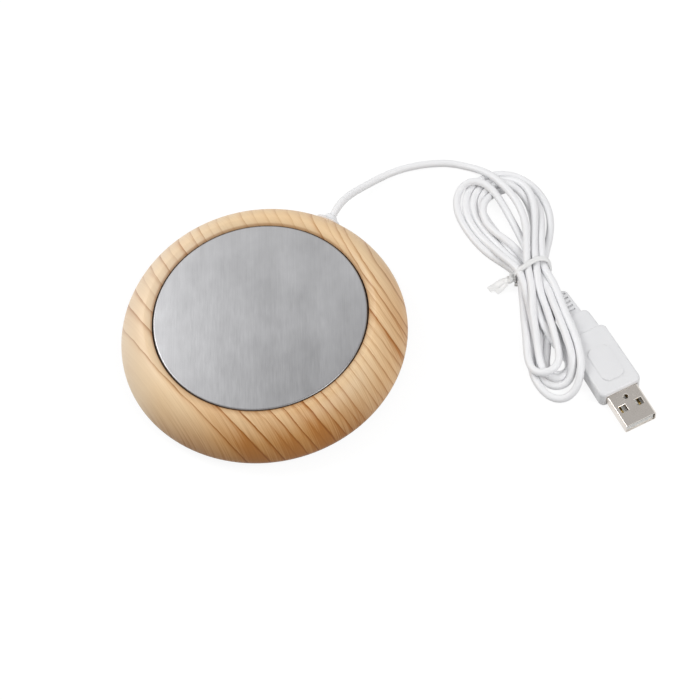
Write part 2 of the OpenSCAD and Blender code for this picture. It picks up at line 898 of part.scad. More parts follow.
module cord_tail() {
    back = -grip_l - block_l - relief_l;
    color("white")
        plug_frame()
            translate([back - tail_l, 0, plug_z])
                rotate([0, 90, 0])
                    cylinder(r = cord_r, h = tail_l, $fn = 24);
}

module twist_tie() {
    knot_r = 1.7;
    knot_y = -waist_w / 2 - tie_gap - knot_r;
    knot_z = 3;
    tail_turns = [-86, -64];
    tail_lengths = [9, 7];
    tail_dips = [8, 14];
    tail_z = [2.2, 3.2];
    color("snow")
        tie_frame() {
            waist_band(tie_w, tie_gap, tie_gap + tie_t);
            translate([-tie_w / 2, knot_y, knot_z])
                rotate([0, 90, 0])
                    cylinder(r = knot_r, h = tie_w, $fn = 24);
            for (i = [0, 1])
                translate([0, knot_y, tail_z[i]])
                    rotate([0, tail_dips[i], tail_turns[i]])
                        linear_extrude(tie_t)
                            union() {
                                translate([0, -tie_w / 2])
                                    square([tail_lengths[i], tie_w]);
                                translate([tail_lengths[i], 0])
                                    circle(tie_w / 2, $fn = 24);
                            }
        }
}

// ---- USB plug ----

// A block with rounded edges from x0 to x1, w0 wide at its start and w1 wide at its end.
module soft_block(x0, x1, w0, w1, h, edge) {
    hull()
        for (a = [0 : 30 : 90]) {
            drop = edge * (1 - sin(a));
            translate([0, 0, plug_z - h / 2 + drop])
                linear_extrude(h - 2 * drop)
                    soft_plan(x0, x1, w0, w1, 2 * edge, edge * (1 - cos(a)));
        }
}

// The corners of such a block's plan, of radius r, drawn in by inset.
module soft_plan(x0, x1, w0, w1, r, inset) {
    for (y = [-1, 1]) {
        translate([x0 + r, y * (w0 / 2 - r)])
            circle(r - inset, $fn = 24);
        translate([x1 - r, y * (w1 / 2 - r)])
            circle(r - inset, $fn = 24);
    }
}

module plug_grip() {
    block_x = -grip_l - block_l;
    relief_x = block_x - relief_l;
    color("whitesmoke")
        plug_frame()
            difference() {
                union() {
                    soft_block(-grip_l, 0, grip_w - 0.6, grip_w, grip_h, grip_edge);
                    soft_block(block_x, -grip_l + 4, block_w - 1, block_w, grip_h - 1.2, grip_edge);
                    soft_block(relief_x, block_x + 3, relief_tail_w, relief_w, relief_h, grip_edge);
                    // Raised thumb panel.
                    soft_pad(-panel_front - panel_l, -panel_front, panel_w, panel_rise);
                }
                // Slots that let the bend relief flex, on top and bottom and on both sides.
                for (k = [1 : relief_slots], side = [-1, 1]) {
                    translate([relief_x + k * relief_pitch, 0, plug_z + side * relief_h / 2])
                        cube([relief_cut, relief_tail_w * 0.66, relief_h * 0.34], center = true);
                    translate([relief_x + (k - 0.5) * relief_pitch, side * relief_w / 2, plug_z])
                        cube([relief_cut, relief_w * 0.55, relief_h * 0.5], center = true);
                }
                // Room for the shell and the contact carrier.
                translate([-shell_in, -shell_w / 2, shell_bottom])
                    cube([shell_in + 1, shell_w, shell_h]);
            }
}

// A low rounded panel on top of the grip, from x0 to x1.
module soft_pad(x0, x1, w, rise) {
    translate([(x0 + x1) / 2, 0, plug_z + grip_h / 2 - 1])
        linear_extrude(1 + rise)
            round_rect(x1 - x0, w, 2.4);
}

module plug_shell() {
    window_x = shell_out / 2;
    color("silver")
        plug_frame()
            translate([0, 0, plug_z])
                difference() {
                    translate([-shell_in, 0, 0])
                        rotate([90, 0, 90])
                            linear_extrude(shell_in + shell_out)
                                difference() {
                                    round_rect(shell_w, shell_h, shell_corner_r);
                                    round_rect(
                                        shell_w - 2 * shell_t, shell_h - 2 * shell_t,
                                        shell_corner_r - shell_t);
                                }
                    for (y = [-window_side, window_side])
                        translate([window_x, y, 0])
                            cube([window_w, window_w, shell_h + 1], center = true);
                    translate([latch_x, 0, shell_h / 2])
                        cylinder(r = latch_r, h = 2, center = true, $fn = 24);
                }
}

module plug_carrier() {
    in_w = shell_w - 2 * shell_t;
    in_h = shell_h - 2 * shell_t;
    tongue_w = in_w - 0.8;
    floor_z = shell_bottom + shell_t;
    tip = shell_out - 0.6;
    color("white")
        plug_frame()
            difference() {
                union() {
                    translate([-shell_in, 0, plug_z])
                        rotate([90, 0, 90])
                            linear_extrude(shell_in + 0.8)
                                round_rect(in_w, in_h, shell_corner_r - shell_t);
                    translate([0, -tongue_w / 2, floor_z])
                        cube([tip, tongue_w, tongue_t]);
                }
                for (i = [0 : 3])
                    translate([0.8, contact_at[i] - contact_w / 2, floor_z + tongue_t - contact_t])
                        cube([tip - 1.8 - contact_short[i], contact_w, 1]);
            }
}

module plug_contact(i) {
    floor_z = shell_bottom + shell_t;
    tip = shell_out - 0.6;
    color("gold")
        plug_frame()
            translate([0.8, contact_at[i - 1] - contact_w / 2, floor_z + tongue_t - contact_t])
                cube([tip - 1.8 - contact_short[i - 1], contact_w, contact_t + 0.05]);
}

ring_housing();
base_cover();
hot_plate();
plate_gasket();
heater_film();
heater_track();
heater_backing();
solder_tabs();
thermal_cutout();
insulation_pad();
heater_retainer();
retainer_screws();
inner_wire(red_wire_points, "red");  // red_wire
inner_wire(black_wire_points, "black");  // black_wire
inner_wire(link_wire_points, "red");  // link_wire
cord_end();
cord_clamp();
clamp_screws();
cover_screws();
for (i = [1 : 4])
    foot(i);
grommet();
cord_lead();
cord_hank();
cord_tail();
twist_tie();
plug_grip();
plug_shell();
plug_carrier();
for (i = [1 : 4])
    plug_contact(i);
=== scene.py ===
import json
import math

import bmesh
import bpy
import numpy as np
from mathutils import Matrix, Quaternion, Vector


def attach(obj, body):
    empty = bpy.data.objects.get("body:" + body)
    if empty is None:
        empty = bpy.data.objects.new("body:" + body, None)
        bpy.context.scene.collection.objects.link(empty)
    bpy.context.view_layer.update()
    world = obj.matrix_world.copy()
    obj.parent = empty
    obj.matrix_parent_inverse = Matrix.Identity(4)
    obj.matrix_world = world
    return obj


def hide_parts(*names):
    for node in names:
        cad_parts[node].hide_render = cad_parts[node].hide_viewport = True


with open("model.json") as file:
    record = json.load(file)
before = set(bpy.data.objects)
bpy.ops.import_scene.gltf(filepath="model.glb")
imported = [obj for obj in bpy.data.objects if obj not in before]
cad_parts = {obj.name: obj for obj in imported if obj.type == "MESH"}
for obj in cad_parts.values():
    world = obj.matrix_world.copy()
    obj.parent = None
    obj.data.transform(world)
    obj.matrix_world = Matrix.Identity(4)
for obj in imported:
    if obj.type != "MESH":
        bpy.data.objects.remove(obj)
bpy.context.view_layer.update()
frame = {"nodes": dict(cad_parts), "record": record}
solids = frame["nodes"]

# Millimetres as metres.
MM = 0.001


# ---- Camera ----

# Where it stands and what it looks at in metres, its lens in millimetres and its roll in degrees.
CAMERA_AT = (0.2332, -0.2846, 0.6016)
CAMERA_AIM = (0.0295, 0.0095, 0)
CAMERA_LENS = 99.61
CAMERA_ROLL = -9.224


def place_camera():
    """A long lens that looks down at the table, a little rolled."""
    lens = bpy.data.cameras.new("studio_camera")
    lens.lens = CAMERA_LENS
    lens.sensor_fit = "HORIZONTAL"
    lens.sensor_width = 36
    lens.clip_start = 0.05
    camera = bpy.data.objects.new("studio_camera", lens)
    bpy.context.collection.objects.link(camera)
    camera.location = CAMERA_AT
    camera.rotation_mode = "QUATERNION"
    level = (Vector(CAMERA_AIM) - Vector(CAMERA_AT)).to_track_quat("-Z", "Y")
    camera.rotation_quaternion = level @ Quaternion((0, 0, 1), math.radians(CAMERA_ROLL))
    bpy.context.scene.camera = camera


place_camera()


# ---- Building nodes ----

COLOUR, NUMBER, VECTOR = "NodeSocketColor", "NodeSocketFloat", "NodeSocketVector"


def feed(tree, socket, value):
    """Sets an input to a value, or links it to the socket that feeds it."""
    if isinstance(value, bpy.types.NodeSocket):
        tree.links.new(value, socket)
    else:
        socket.default_value = value


def put(tree, kind, inputs=None, **settings):
    """Adds a shader node with its settings and inputs."""
    new = tree.nodes.new("ShaderNode" + kind)
    for name, value in settings.items():
        setattr(new, name, value)
    for name, value in (inputs or {}).items():
        feed(tree, new.inputs[name], value)
    return new


def maths(tree, operation, *values):
    return put(tree, "Math", dict(enumerate(values)), operation=operation).outputs[0]


def times(tree, first, *others):
    for other in others:
        first = maths(tree, "MULTIPLY", first, other)
    return first


def plus(tree, first, *others):
    for other in others:
        first = maths(tree, "ADD", first, other)
    return first


def dot(tree, vector, axis):
    return put(tree, "VectorMath", {0: vector, 1: axis}, operation="DOT_PRODUCT").outputs["Value"]


def length(tree, vector):
    return put(tree, "VectorMath", {0: vector}, operation="LENGTH").outputs["Value"]


def blend(tree, amount, first, second):
    """A colour between two others; the amount is held between 0 and 1."""
    mix = put(tree, "Mix", data_type="RGBA", clamp_factor=True)
    for socket, value in ((mix.inputs[0], amount), (mix.inputs[6], first), (mix.inputs[7], second)):
        feed(tree, socket, value)
    return mix.outputs[2]


def ranged(tree, value, low, high, to_low=0.0, to_high=1.0):
    """Takes low to high onto to_low to to_high, and stays there past both ends."""
    return put(tree, "MapRange", {
        "Value": value, "From Min": low, "From Max": high, "To Min": to_low, "To Max": to_high,
    }).outputs[0]


def noise(tree, place, scale, detail=2.0, rough=0.5):
    return put(tree, "TexNoise", {"Vector": place, "Scale": scale, "Detail": detail, "Roughness": rough}).outputs[0]


def laid_out(tree, place, scale, turn=(0, 0, 0), shift=(0, 0, 0)):
    """The place after it is scaled, turned and shifted."""
    return put(tree, "Mapping", {"Vector": place, "Scale": scale, "Rotation": turn, "Location": shift}).outputs[0]


def drawn_noise(tree, place, scale, detail, rough=0.5, shift=(0, 0, 0)):
    """Noise that is drawn out along the axes where the scale is small."""
    return noise(tree, laid_out(tree, place, scale, shift=shift), 1.0, detail, rough)


def effect(name, takes, gives):
    """A shader node group with named inputs and outputs."""
    group = bpy.data.node_groups.new(name, "ShaderNodeTree")
    for label, kind, value in takes:
        group.interface.new_socket(label, in_out="INPUT", socket_type=kind).default_value = value
    for label, kind in gives:
        group.interface.new_socket(label, in_out="OUTPUT", socket_type=kind)
    return group, group.nodes.new("NodeGroupInput").outputs, group.nodes.new("NodeGroupOutput").inputs


def give_out(group, out, **results):
    """Links the results to the group's outputs of the same names."""
    for label, value in results.items():
        group.links.new(value, out[label])
    return group


# ---- Effects ----

def make_cloudy_tone():
    """Slow drifts of tone and gloss, as on any moulded, rubbed or handled surface."""
    group, given, out = effect(
        "cloudy_tone",
        [("Place", VECTOR, (0, 0, 0)), ("Colour", COLOUR, (0.8, 0.8, 0.8, 1)), ("Tint", COLOUR, (0.7, 0.7, 0.7, 1)),
         ("Scale", NUMBER, 60.0), ("Amount", NUMBER, 0.4), ("Roughness", NUMBER, 0.5), ("Gloss Drift", NUMBER, 0.1)],
        [("Colour", COLOUR), ("Roughness", NUMBER)],
    )
    wide = noise(group, given["Place"], given["Scale"], 3.0, 0.55)
    small = noise(group, given["Place"], times(group, given["Scale"], 9.0))
    cloud = ranged(group, wide, 0.35, 0.68)
    fleck = ranged(group, small, 0.3, 0.7, 0.75, 1.0)
    amount = times(group, cloud, fleck, given["Amount"])
    drift = times(group, plus(group, wide, -0.5), given["Gloss Drift"])
    return give_out(
        group, out,
        Colour=blend(group, amount, given["Colour"], given["Tint"]), Roughness=plus(group, given["Roughness"], drift),
    )


def make_moulded_skin():
    """Height of a fine spark-eroded mould texture with a slow ripple under it."""
    group, given, out = effect(
        "moulded_skin",
        [("Place", VECTOR, (0, 0, 0)), ("Grain Scale", NUMBER, 3000.0), ("Grain", NUMBER, 0.5),
         ("Ripple", NUMBER, 0.5)],
        [("Height", NUMBER)],
    )
    grain = times(group, noise(group, given["Place"], given["Grain Scale"], 3.0, 0.6), given["Grain"])
    ripple = times(group, noise(group, given["Place"], 90.0), given["Ripple"])
    return give_out(group, out, Height=plus(group, grain, ripple))


def make_hair_scratches():
    """Thin random scratches; Mask is one on a scratch."""
    group, given, out = effect(
        "hair_scratches",
        [("Place", VECTOR, (0, 0, 0)), ("Scale", NUMBER, 300.0), ("Share", NUMBER, 0.5)],
        [("Mask", NUMBER)],
    )
    # Each scratch wanders a little instead of running dead straight.
    wander = put(group, "TexNoise", {"Vector": given["Place"], "Scale": 120.0}).outputs["Color"]
    wander = put(group, "VectorMath", {0: wander, "Scale": 0.004}, operation="SCALE").outputs[0]
    bent = put(group, "VectorMath", {0: given["Place"], 1: wander}, operation="ADD").outputs[0]
    lines = []
    for turn in (0.35, 2.2):
        laid = laid_out(group, bent, (1.0, 0.07, 1.0), (0.2, 0.1, turn))
        cells = put(group, "TexVoronoi", {"Vector": laid, "Scale": given["Scale"]}, feature="DISTANCE_TO_EDGE")
        lines.append(ranged(group, cells.outputs["Distance"], 0.0, 0.012, 1.0, 0.0))
    broken = ranged(group, noise(group, given["Place"], 200.0, 1.0), 0.5, 0.6)
    return give_out(group, out, Mask=times(group, maths(group, "MAXIMUM", *lines), broken, given["Share"]))


def make_straight_brushing():
    """Long fine lines along X of Place, in millimetres, with slow blotches of tone, darkened by the painted shade that
    is given.
    """
    group, given, out = effect(
        "straight_brushing",
        [("Place", VECTOR, (0, 0, 0)), ("Colour", COLOUR, (0.6, 0.6, 0.6, 1)), ("Contrast", NUMBER, 0.3),
         ("Blotch", NUMBER, 0.2), ("Dulled", NUMBER, 0.0), ("Roughness", NUMBER, 0.35)],
        [("Colour", COLOUR), ("Roughness", NUMBER), ("Height", NUMBER)],
    )
    coarse = drawn_noise(group, given["Place"], (0.035, 2.2, 1.0), 4.0, 0.7)
    fine = drawn_noise(group, given["Place"], (0.16, 5.5, 1.0), 3.0, 0.75, (3, 7, 0))
    blotches = drawn_noise(group, given["Place"], (0.05, 0.08, 1.0), 3.0, 0.6)
    line = plus(group, times(group, coarse, 0.55), times(group, fine, 0.45))
    tone = plus(
        group, times(group, plus(group, line, -0.5), given["Contrast"]),
        times(group, plus(group, blotches, -0.5), given["Blotch"]), 1.0,
    )
    # The painted shade is taken off the tone.
    level = maths(group, "SUBTRACT", tone, given["Dulled"])
    return give_out(
        group, out,
        Colour=put(group, "HueSaturation", {"Value": level, "Color": given["Colour"]}).outputs[0],
        Roughness=plus(group, given["Roughness"], times(group, plus(group, fine, -0.5), 0.25)),
        Height=line,
    )


# Growth rings of the printed board: where each ends across the grain in millimetres, and how dark its late line is.
GROWTH = (
    (-60, 0), (-48, 0), (-40.8, 0.75), (-34.2, 0.9), (-29.3, 1), (-24.7, 0.3), (-20.6, 0.8), (-16.2, 0.8),
    (-12.4, 0.25), (-8.7, 1), (-4, 0.7), (-0.6, 0.7), (3, 0.25), (6, 0.4), (10, 0.25), (14, 0.4), (17.5, 0.3),
    (21, 0.3), (24.5, 0.35), (28, 0.3), (31, 0.3), (34.5, 0.85), (38, 0.3), (40.5, 0.55), (43, 0.5), (47, 0.45),
    (51, 0.25), (55, 0.35), (60, 0),
)
# Stained wood between the lines: place across the grain in millimetres, and how strong.
STAIN = (
    (-41.5, 0.03), (-39.5, 0.55), (-34.4, 1.0), (-33.9, 0.12), (-29.2, 0.1), (-27.6, 0.35), (-24.6, 0.62), (-22, 0.5),
    (-20.6, 0.36), (-20.1, 0.15), (-15.9, 0.18), (-13.2, 0.75), (-8.9, 1.1), (-8.3, 0.15), (-4.3, 0.4), (-3.8, 0.1),
    (0, 0.16), (12, 0.14), (30, 0.1), (34.3, 0.65), (35, 0.12), (39, 0.3), (43, 0.42), (43.6, 0.12), (56, 0.1),
)
# How far both rows reach to each side, and the widest ring that a ramp's colour can hold, in millimetres.
GRAIN_REACH = 60.0
WIDEST_RING = 15.0
# Directions over the ring, which turn metres into millimetres each way.
WITH_GRAIN = (875, -485, 0)
ACROSS_GRAIN = (485, 875, 0)
NEAR_SIDE = (474, -880, 0)
FAR_SIDE = (225, 934, 0)
# The side towards the left lamp, which gets painted light.
PAINTED_LIGHT_SIDE = (-987, -159, 0)
# Up the ring, as far as its lines lean on the way from the table to the crest.
LEAN = (0, 0, 222)
CREST_LEAN = 4.4
# Radius inside which the painted shade beside the plate's gap is strongest, and where it fades out.
GAP_SHADE_FULL, GAP_SHADE_ENDS = 39.0, 39.6


def on_grain(at):
    """A place across the grain as a share of the whole reach."""
    return (at + GRAIN_REACH) / (2 * GRAIN_REACH)


def ring_facts(group, share):
    """How dark this growth ring's late line is, and how many millimetres lie before the ring's end."""
    count = len(GROWTH) - 1
    spread = put(group, "FloatCurve")
    curve = spread.mapping.curves[0]
    curve.points[0].location = (0, 0)
    curve.points[1].location = (1, 1)
    for k, (end, _) in enumerate(GROWTH[1:-1], 1):
        curve.points.new(on_grain(end), k / count)
    for point in curve.points:
        point.handle_type = "VECTOR"
    spread.mapping.update()
    group.links.new(share, spread.inputs["Value"])
    number = times(group, spread.outputs[0], float(count))
    middle = plus(group, maths(group, "FLOOR", number), 0.5)
    facts = put(group, "ValToRGB", {"Fac": maths(group, "DIVIDE", middle, float(count))})
    facts.color_ramp.interpolation = "CONSTANT"
    stops = facts.color_ramp.elements
    for k, ((start, _), (end, dark)) in enumerate(zip(GROWTH, GROWTH[1:])):
        stop = stops[k] if k < 2 else stops.new(k / count)
        stop.position = k / count
        stop.color = (dark, (end - start) / WIDEST_RING, 0, 1)
    fact = put(group, "SeparateColor", {"Color": facts.outputs[0]}).outputs
    to_go = maths(group, "SUBTRACT", 1.0, maths(group, "FRACT", number))
    return fact[0], times(group, to_go, fact[1], WIDEST_RING)


def stain_level(group, share):
    """How strongly the wood is stained at this share of the way across the grain."""
    stained = put(group, "ValToRGB", {"Fac": share})
    stops = stained.color_ramp.elements
    for k, (at, level) in enumerate(STAIN):
        stop = stops[k] if k < 2 else stops.new(1.0)
        stop.position = on_grain(at)
        stop.color = (level, level, level, 1)
    return stained.outputs[0]


def make_wood_grain():
    """Growth rings of a flat-sawn board, laid over the ring as the printed film is, with painted shade on the near side
    and beside the plate, and painted light on the left side.
    """
    group, given, out = effect(
        "wood_grain",
        [("Place", VECTOR, (0, 0, 0)), ("Pale", COLOUR, (0.8, 0.6, 0.4, 1)), ("Tan", COLOUR, (0.72, 0.5, 0.29, 1)),
         ("Warm", COLOUR, (0.6, 0.3, 0.1, 1)), ("Line", COLOUR, (0.2, 0.08, 0.02, 1)), ("Contrast", NUMBER, 1.0),
         ("Roughness", NUMBER, 0.4)],
        [("Colour", COLOUR), ("Roughness", NUMBER), ("Height", NUMBER)],
    )
    place = given["Place"]
    along, across, up = (dot(group, place, way) for way in (WITH_GRAIN, ACROSS_GRAIN, LEAN))
    near = ranged(group, dot(group, place, NEAR_SIDE), 25, 44)
    # Painted light: brighter and paler towards the left lamp's side.
    painted_light = ranged(group, dot(group, place, PAINTED_LIGHT_SIDE), 22, 44)
    laid = put(group, "CombineXYZ", {0: along, 1: across, 2: 0.0}).outputs[0]

    # The lines bow a little along the board and lean down the ring's sides.
    bow = times(group, along, plus(group, times(group, across, 0.00285), times(group, along, -0.000925), 0.014))
    sway = ranged(group, drawn_noise(group, laid, (0.02, 0.04, 1), 2.0), 0.3, 0.7, -0.6, 0.6)
    ripple = ranged(group, drawn_noise(group, laid, (0.12, 0.3, 1), 2.0), 0.3, 0.7, -0.22, 0.22)
    grown = plus(group, across, bow, sway, ripple, up, -CREST_LEAN)
    share = ranged(group, grown, -GRAIN_REACH, GRAIN_REACH)
    dark, left = ring_facts(group, share)

    # Each ring ends in a dark line with a warm halo before it. Both fade in and out along the board.
    fade = ranged(group, drawn_noise(group, laid, (0.035, 0.2, 1), 2.0, shift=(4, 1, 0)), 0.35, 0.65, 0.6, 1.1)
    fade = times(group, fade, given["Contrast"], ranged(group, up, 4.6, 2.6, 0.75, 1.0))
    core = ranged(group, left, 0.1, 0.75, 1.0, 0.0)
    line = times(group, core, dark, fade, ranged(group, along, -24, 12, 0.44, 1.6))
    halo = maths(group, "POWER", ranged(group, left, 0.0, 2.2, 1.0, 0.0), 1.7)
    halo = times(group, halo, dark, fade, 0.85)

    # The stained wood breaks up into streaks and flecks. Low on the ring's near side it is deepened further: partly
    # stain, partly painted shade.
    fibres = drawn_noise(group, laid, (0.045, 2.0, 1), 4.0, 0.65)
    streaks = drawn_noise(group, laid, (0.03, 0.75, 1), 3.0, 0.6, (7, 3, 0))
    stain = times(
        group, stain_level(group, share), fade, ranged(group, up, 4.5, 2.8, 0.35, 1.0),
        ranged(group, along, -14, 14, 0.2, 1.0), ranged(group, streaks, 0.35, 0.65, 0.72, 1.12),
    )
    # Stain and painted shade: warmer and darker low on the near side.
    near_stain_and_shade = times(group, near, ranged(group, up, 4.2, 0.6, 0.0, 0.68))
    warm = plus(group, stain, near_stain_and_shade, halo)
    figured = ranged(group, along, -6, 20, 0.3, 1.0)
    flecks = times(group, ranged(group, fibres, 0.42, 0.7), figured, ranged(group, warm, 0.0, 0.6, 0.16, 0.55))

    # Between pale sapwood and tan heartwood the board changes in broad patches.
    patch = drawn_noise(group, laid, (0.025, 0.05, 1), 3.0, shift=(9, 2, 0))
    tan = maths(group, "MINIMUM", ranged(group, across, -12, 14, 1.0, 0.35), ranged(group, across, -43, -36, 0.35, 1.0))
    tan = times(group, tan, ranged(group, along, 0, 22, 0.06, 1.0))
    tan = plus(group, tan, ranged(group, dot(group, place, FAR_SIDE), 25, 46, 0.0, 0.3))
    tan = times(group, tan, ranged(group, up, 4.4, 3.0, 0.35, 1.0))
    tan = plus(group, tan, ranged(group, patch, 0.3, 0.7, -0.12, 0.12))
    board = blend(group, tan, given["Pale"], given["Tan"])
    board = blend(group, plus(group, warm, flecks), board, given["Warm"])
    board = blend(group, line, board, given["Line"])

    # The fibres comb the tone, painted shade darkens the near side low down, and painted light brightens and pales the
    # left side.
    tone = plus(
        group, ranged(group, patch, 0.3, 0.7, 0.97, 1.03),
        times(group, figured, ranged(group, fibres, 0.3, 0.7, 0.045, -0.065)),
        # Painted light on the left side, and painted shade low on the near side.
        times(group, painted_light, 0.05), times(group, near, ranged(group, up, 3.9, 1.2, -0.06, -0.27)),
    )
    # The painted light also pales the colour on that side.
    depth = ranged(group, painted_light, 0, 1, 1.0, 0.8)
    board = put(group, "HueSaturation", {"Saturation": depth, "Value": tone, "Color": board}).outputs[0]
    # Painted shade darkens the ring's inner edge beside the plate's gap.
    gap_shade = ranged(group, length(group, laid), GAP_SHADE_FULL, GAP_SHADE_ENDS, 0.47, 0.0)
    return give_out(
        group, out,
        Colour=blend(group, gap_shade, board, given["Line"]),
        Roughness=plus(group, given["Roughness"], ranged(group, fibres, 0.3, 0.7, -0.05, 0.07)),
        Height=plus(group, ranged(group, fibres, 0.3, 0.7, 0.4, 0.6), times(group, line, -0.5)),
    )


def make_needled_felt():
    """Matted fibres of a pressed pad."""
    group, given, out = effect(
        "needled_felt",
        [("Place", VECTOR, (0, 0, 0)), ("Colour", COLOUR, (0.8, 0.8, 0.8, 1)), ("Tint", COLOUR, (0.6, 0.6, 0.6, 1))],
        [("Colour", COLOUR), ("Height", NUMBER)],
    )
    strands = []
    for turn in (0.3, 1.4, 2.5):
        strands.append(noise(group, laid_out(group, given["Place"], (1, 0.12, 1), (0, 0, turn)), 2200.0))
    mat = maths(group, "MAXIMUM", maths(group, "MAXIMUM", strands[0], strands[1]), strands[2])
    colour = blend(group, ranged(group, mat, 0.45, 0.75, 1.0, 0.0), given["Colour"], given["Tint"])
    return give_out(group, out, Colour=colour, Height=mat)


CLOUDY = make_cloudy_tone()
SKIN = make_moulded_skin()
SCRATCHES = make_hair_scratches()
BRUSHING = make_straight_brushing()
WOOD = make_wood_grain()
FELT = make_needled_felt()


# ---- Finishes ----

def start_finish(name, **shader):
    """A material with a Principled shader and Object coordinates."""
    material = bpy.data.materials.new(name)
    material.use_nodes = True
    tree = material.node_tree
    surface = tree.nodes["Principled BSDF"]
    for label, value in shader.items():
        surface.inputs[label.replace("_", " ")].default_value = value
    return material, tree, surface, put(tree, "TexCoord").outputs["Object"]


def place_effect(tree, group, **inputs):
    """Adds an effect to a finish and gives its outputs."""
    new = put(tree, "Group")
    new.node_tree = group
    for label, value in inputs.items():
        feed(tree, new.inputs[label.replace("_", " ")], value)
    return new.outputs


def raise_surface(tree, surface, height, depth):
    """Bumps the surface by up to the depth, in metres."""
    bump = put(tree, "Bump", {"Height": height, "Distance": depth, "Strength": 1.0})
    tree.links.new(bump.outputs[0], surface.inputs["Normal"])


def moulded(name, colour, tint, rough, amount=0.5, scale=60.0, grain=0.00002, grain_scale=3000.0, **shader):
    """Moulded plastic or rubber."""
    material, tree, surface, place = start_finish(name, **shader)
    tone = place_effect(
        tree, CLOUDY, Place=place, Colour=(*colour, 1), Tint=(*tint, 1), Scale=scale, Amount=amount, Roughness=rough,
        Gloss_Drift=0.12,
    )
    tree.links.new(tone["Colour"], surface.inputs["Base Color"])
    tree.links.new(tone["Roughness"], surface.inputs["Roughness"])
    skin = place_effect(tree, SKIN, Place=place, Grain_Scale=grain_scale, Grain=0.6, Ripple=0.4)
    raise_surface(tree, surface, skin["Height"], grain)
    return material


def bright_metal(name, colour, tint, rough, scale=120.0):
    """Plated or bare metal with hair scratches."""
    material, tree, surface, place = start_finish(name, Metallic=1.0)
    marks = place_effect(tree, SCRATCHES, Place=place, Scale=260.0, Share=0.5)
    tone = place_effect(
        tree, CLOUDY, Place=place, Colour=(*colour, 1), Tint=(*tint, 1), Scale=scale, Amount=0.6, Roughness=rough,
        Gloss_Drift=0.25,
    )
    worn = plus(tree, tone["Roughness"], times(tree, marks["Mask"], 0.2))
    tree.links.new(tone["Colour"], surface.inputs["Base Color"])
    tree.links.new(worn, surface.inputs["Roughness"])
    raise_surface(tree, surface, maths(tree, "SUBTRACT", 1.0, marks["Mask"]), 0.00001)
    return material


def wood_print(name):
    """Printed wood film under a satin lacquer."""
    material, tree, surface, place = start_finish(name, Specular_IOR_Level=0.3)
    grain = place_effect(
        tree, WOOD, Place=place, Pale=(0.84, 0.625, 0.385, 1), Tan=(0.73, 0.405, 0.15, 1), Warm=(0.47, 0.185, 0.036, 1),
        Line=(0.32, 0.105, 0.01, 1), Contrast=1.0, Roughness=0.42,
    )
    tree.links.new(grain["Colour"], surface.inputs["Base Color"])
    tree.links.new(grain["Roughness"], surface.inputs["Roughness"])
    raise_surface(tree, surface, grain["Height"], 0.00003)
    return material


# The hot plate: its brushing's turn in degrees, the side towards which painted shade darkens it, and the radii in
# millimetres between which its edge rolls over and painted shade tones down its glint.
BRUSHED_TURN = 61.7
PLATE_SHADE_SIDE = (700, -714, 0)
EDGE_STARTS, EDGE_ROLLED = 37.7, 38.3


def brushed_sheet(name, colour):
    """Sheet steel, brushed one way."""
    material, tree, surface, place = start_finish(name, Metallic=1.0)
    laid = laid_out(tree, place, (1000, 1000, 1000), (0, 0, math.radians(BRUSHED_TURN)))
    flat_place = put(tree, "VectorMath", {0: place, 1: (1000, 1000, 0)}, operation="MULTIPLY").outputs[0]
    # Painted shade: darker towards the near right side, and on the rolled edge to tone down its glint.
    plate_shade = plus(
        tree, ranged(tree, dot(tree, place, PLATE_SHADE_SIDE), 2, 36, 0.0, 0.12),
        ranged(tree, length(tree, flat_place), EDGE_STARTS, EDGE_ROLLED, 0.0, 0.6),
    )
    lines = place_effect(
        tree, BRUSHING, Place=laid, Colour=(*colour, 1), Contrast=0.36, Blotch=0.5, Dulled=plate_shade, Roughness=0.39,
    )
    tree.links.new(lines["Colour"], surface.inputs["Base Color"])
    tree.links.new(lines["Roughness"], surface.inputs["Roughness"])
    raise_surface(tree, surface, lines["Height"], 0.000012)
    return material


def pressed_felt(name):
    """White felt, pressed into a pad."""
    material, tree, surface, place = start_finish(name, Roughness=0.95, Sheen_Weight=0.3)
    mat = place_effect(tree, FELT, Place=place, Colour=(0.86, 0.84, 0.78, 1), Tint=(0.62, 0.59, 0.52, 1))
    tree.links.new(mat["Colour"], surface.inputs["Base Color"])
    raise_surface(tree, surface, mat["Height"], 0.0002)
    return material


